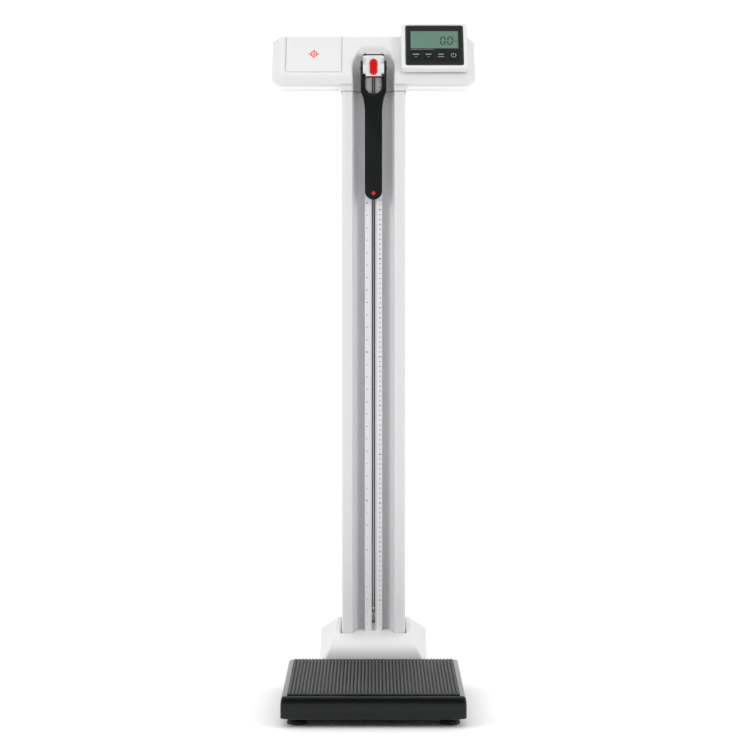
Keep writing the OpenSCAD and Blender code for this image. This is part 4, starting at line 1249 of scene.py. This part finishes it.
wear(panel_film("panel_film", (0.010, 0.0125, 0.0125)), nodes["display_panel"])
wear(lcd_glass(), nodes["lcd"])
wear(panel_film("key_film", (0.0055, 0.0068, 0.0068)), *(nodes[f"key_{i}"] for i in range(1, 5)))
LCD_W, LCD_S0, LCD_S1, LCD_RISE = 48.35, 53.15, 98.15, 16.64


def nought(marks, x, s, wide, tall, stroke, lean=0.05):
    """A figure 0 of six bars, each six-sided with pointed ends. The bar across its middle
    is left out, and the figure leans to the right by a share of its height."""
    half, waist = stroke / 2, tall / 2
    bars = [((0, 0), (wide, 0)), ((0, tall), (wide, tall))]
    bars += [((side, start), (side, start + waist)) for side in (0, wide) for start in (0, waist)]
    for (x0, s0), (x1, s1) in bars:
        way = np.array([x1 - x0, s1 - s0]) / math.hypot(x1 - x0, s1 - s0)
        across = np.array([-way[1], way[0]])
        a, b = np.array([x0, s0]) + way * half * 0.35, np.array([x1, s1]) - way * half * 0.35
        ring = np.array([a, a + (way + across) * half, b + (across - way) * half, b,
                         b - (way + across) * half, a + (way - across) * half])
        ring[:, 0] += lean * ring[:, 1]
        marks.add(ring + (x, s), [[5, 4, 3, 2, 1, 0]])


def screen_marks():
    """The reading 0.0 at the right of the screen, its point, and a small unit sign."""
    marks = Print()
    for x in (12.4, 27.2):
        nought(marks, x, 63.6, wide=8.6, tall=19.2, stroke=3.1)
    marks.bar(23.6, 25.4, 62.6, 64.4)
    marks.word(glyphs("kg", 4.2, 0.24), "kg", 43.4, 73.0, 4.2)
    return marks.piece("screen_figures", lambda x, s: on_slope(x, s, LCD_RISE))


def panel_marks():
    """Grey print: a row of dashes under the screen, and the key signs: dashes over a short
    bar on three keys, and a ring with a stroke on the fourth."""
    marks = Print()
    row = LCD_S0 - 2.9
    for i in range(12):
        start = -LCD_W + 0.4 + i * 3.9 + (0.9 if i > 5 else 0)
        marks.bar(start, start + 2.9, row - 0.5, row + 0.5)
    pitch, off, gap = 2 * PANEL_W * 0.2153, 0.3, 0.25
    for i, (wide, short) in enumerate(((6.6, 2.0), (6.0, 1.6), (5.6, 6.5))):
        x = (i - 1.5) * pitch + off
        for part in range(4):
            start = x - wide + part * wide / 2
            marks.bar(start + gap, start + wide / 2 - gap, 36.2, 38.6)
        marks.bar(x - short, x + short, 30.4, 31.6)
    x, middle, steps = 1.5 * pitch + off, 35, 26
    turn = np.radians(np.linspace(125, 415, steps))
    ring = np.concatenate([np.column_stack([x + r * np.cos(turn), middle + r * np.sin(turn)])
                           for r in (4.3, 5.5)])
    marks.add(ring, grid_faces(2, steps))
    marks.bar(x - 0.6, x + 0.6, 35.8, 41.2)
    keys_top, key_face, film_face = 48, 17.26, 17.05
    return marks.piece("panel_print",
                       lambda x, s: on_slope(x, s, np.where(s < keys_top, key_face, film_face)))


def panel_edge():
    """A dark band printed round the panel's edge, and a dark line round the screen."""
    bands = []
    for name, outer, inner in (
            ("panel_border", (PANEL_W - 0.1, PANEL_S0 + 0.1, PANEL_S1 - 0.1, PANEL_R), 2.6),
            ("screen_border", (LCD_W + 0.9, LCD_S0 - 0.9, LCD_S1 + 0.9, 0.6), 0.85)):
        rings = [case_ring(0, 17.04, outer), case_ring(inner, 17.04, outer)]
        bands.append(lofted(name, rings, close=False))
    return bands


lcd_dark = ink("lcd_segments", (0.006, 0.014, 0.015))
grey_print = ink("grey_print", (0.25, 0.26, 0.26))
border_print = ink("dark_print", (0.006, 0.007, 0.007))
panel_border, screen_border = panel_edge()
for part, material, slot_name in (
        (screen_marks(), lcd_dark, "lcd_glass"), (panel_marks(), grey_print, "panel_film"),
        (panel_border, border_print, "panel_film"), (screen_border, border_print, "panel_film")):
    wear(material, part)
    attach(part, "scale")


# ---- Power socket ----
# A black barrel socket let into the back of the head, for the mains adapter.
wear(black_abs, nodes["power_socket"])


# ---- Red marks ----
# A small red ring, dot and four ticks are printed on the battery lid, and the same mark,
# smaller, near the flap's tip.
def dial_mark(radius):
    """A ring round a dot, and four ticks outside it at quarter turns."""
    marks = Print()
    turn = np.linspace(0, 2 * np.pi, 49)
    rim = np.column_stack([np.cos(turn), np.sin(turn)])
    for outer_r, inner_r in ((1.0, 0.62), (0.34, 0.0)):
        ring = np.concatenate([radius * r * rim for r in (outer_r, inner_r)])
        marks.add(ring, grid_faces(2, len(turn)))
    for k in range(4):
        way = np.array([math.cos(k * math.pi / 2), math.sin(k * math.pi / 2)])
        side = np.array([-way[1], way[0]]) * radius * 0.17
        near, far = way * radius * 1.12, way * radius * 1.5
        marks.add([near - side, far - side, far + side, near + side], [[0, 1, 2, 3]])
    return marks


red_ink = ink("red_ink", (0.78, 0.012, 0.008))
lid_x = (lid_low[0] + lid_high[0]) / 2
MARK_PROUD = 0.06


def lid_plane(x, s):
    """The lid's face, with the marks centred 52 mm up the slope."""
    y = slope_start[0] + (s + 52) * uphill[0] + MARK_PROUD * outward[0]
    z = slope_start[1] + (s + 52) * uphill[1] + MARK_PROUD * outward[1]
    return np.stack([x + lid_x, y, z], -1)


def flap_plane(x, z):
    """The blade's front, with the marks centred 13 mm above its tip."""
    tip = place("flap")[0][2]
    return np.stack([x, np.full_like(x, BLADE_FRONT - MARK_PROUD), z + tip + 13], -1)


lid_mark = dial_mark(7.5).piece("lid_mark", lid_plane)
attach(lid_mark, "lid")
flap_mark = dial_mark(3.2).piece("flap_mark", flap_plane)
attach(flap_mark, "head_flap")
wear(red_ink, lid_mark, flap_mark)
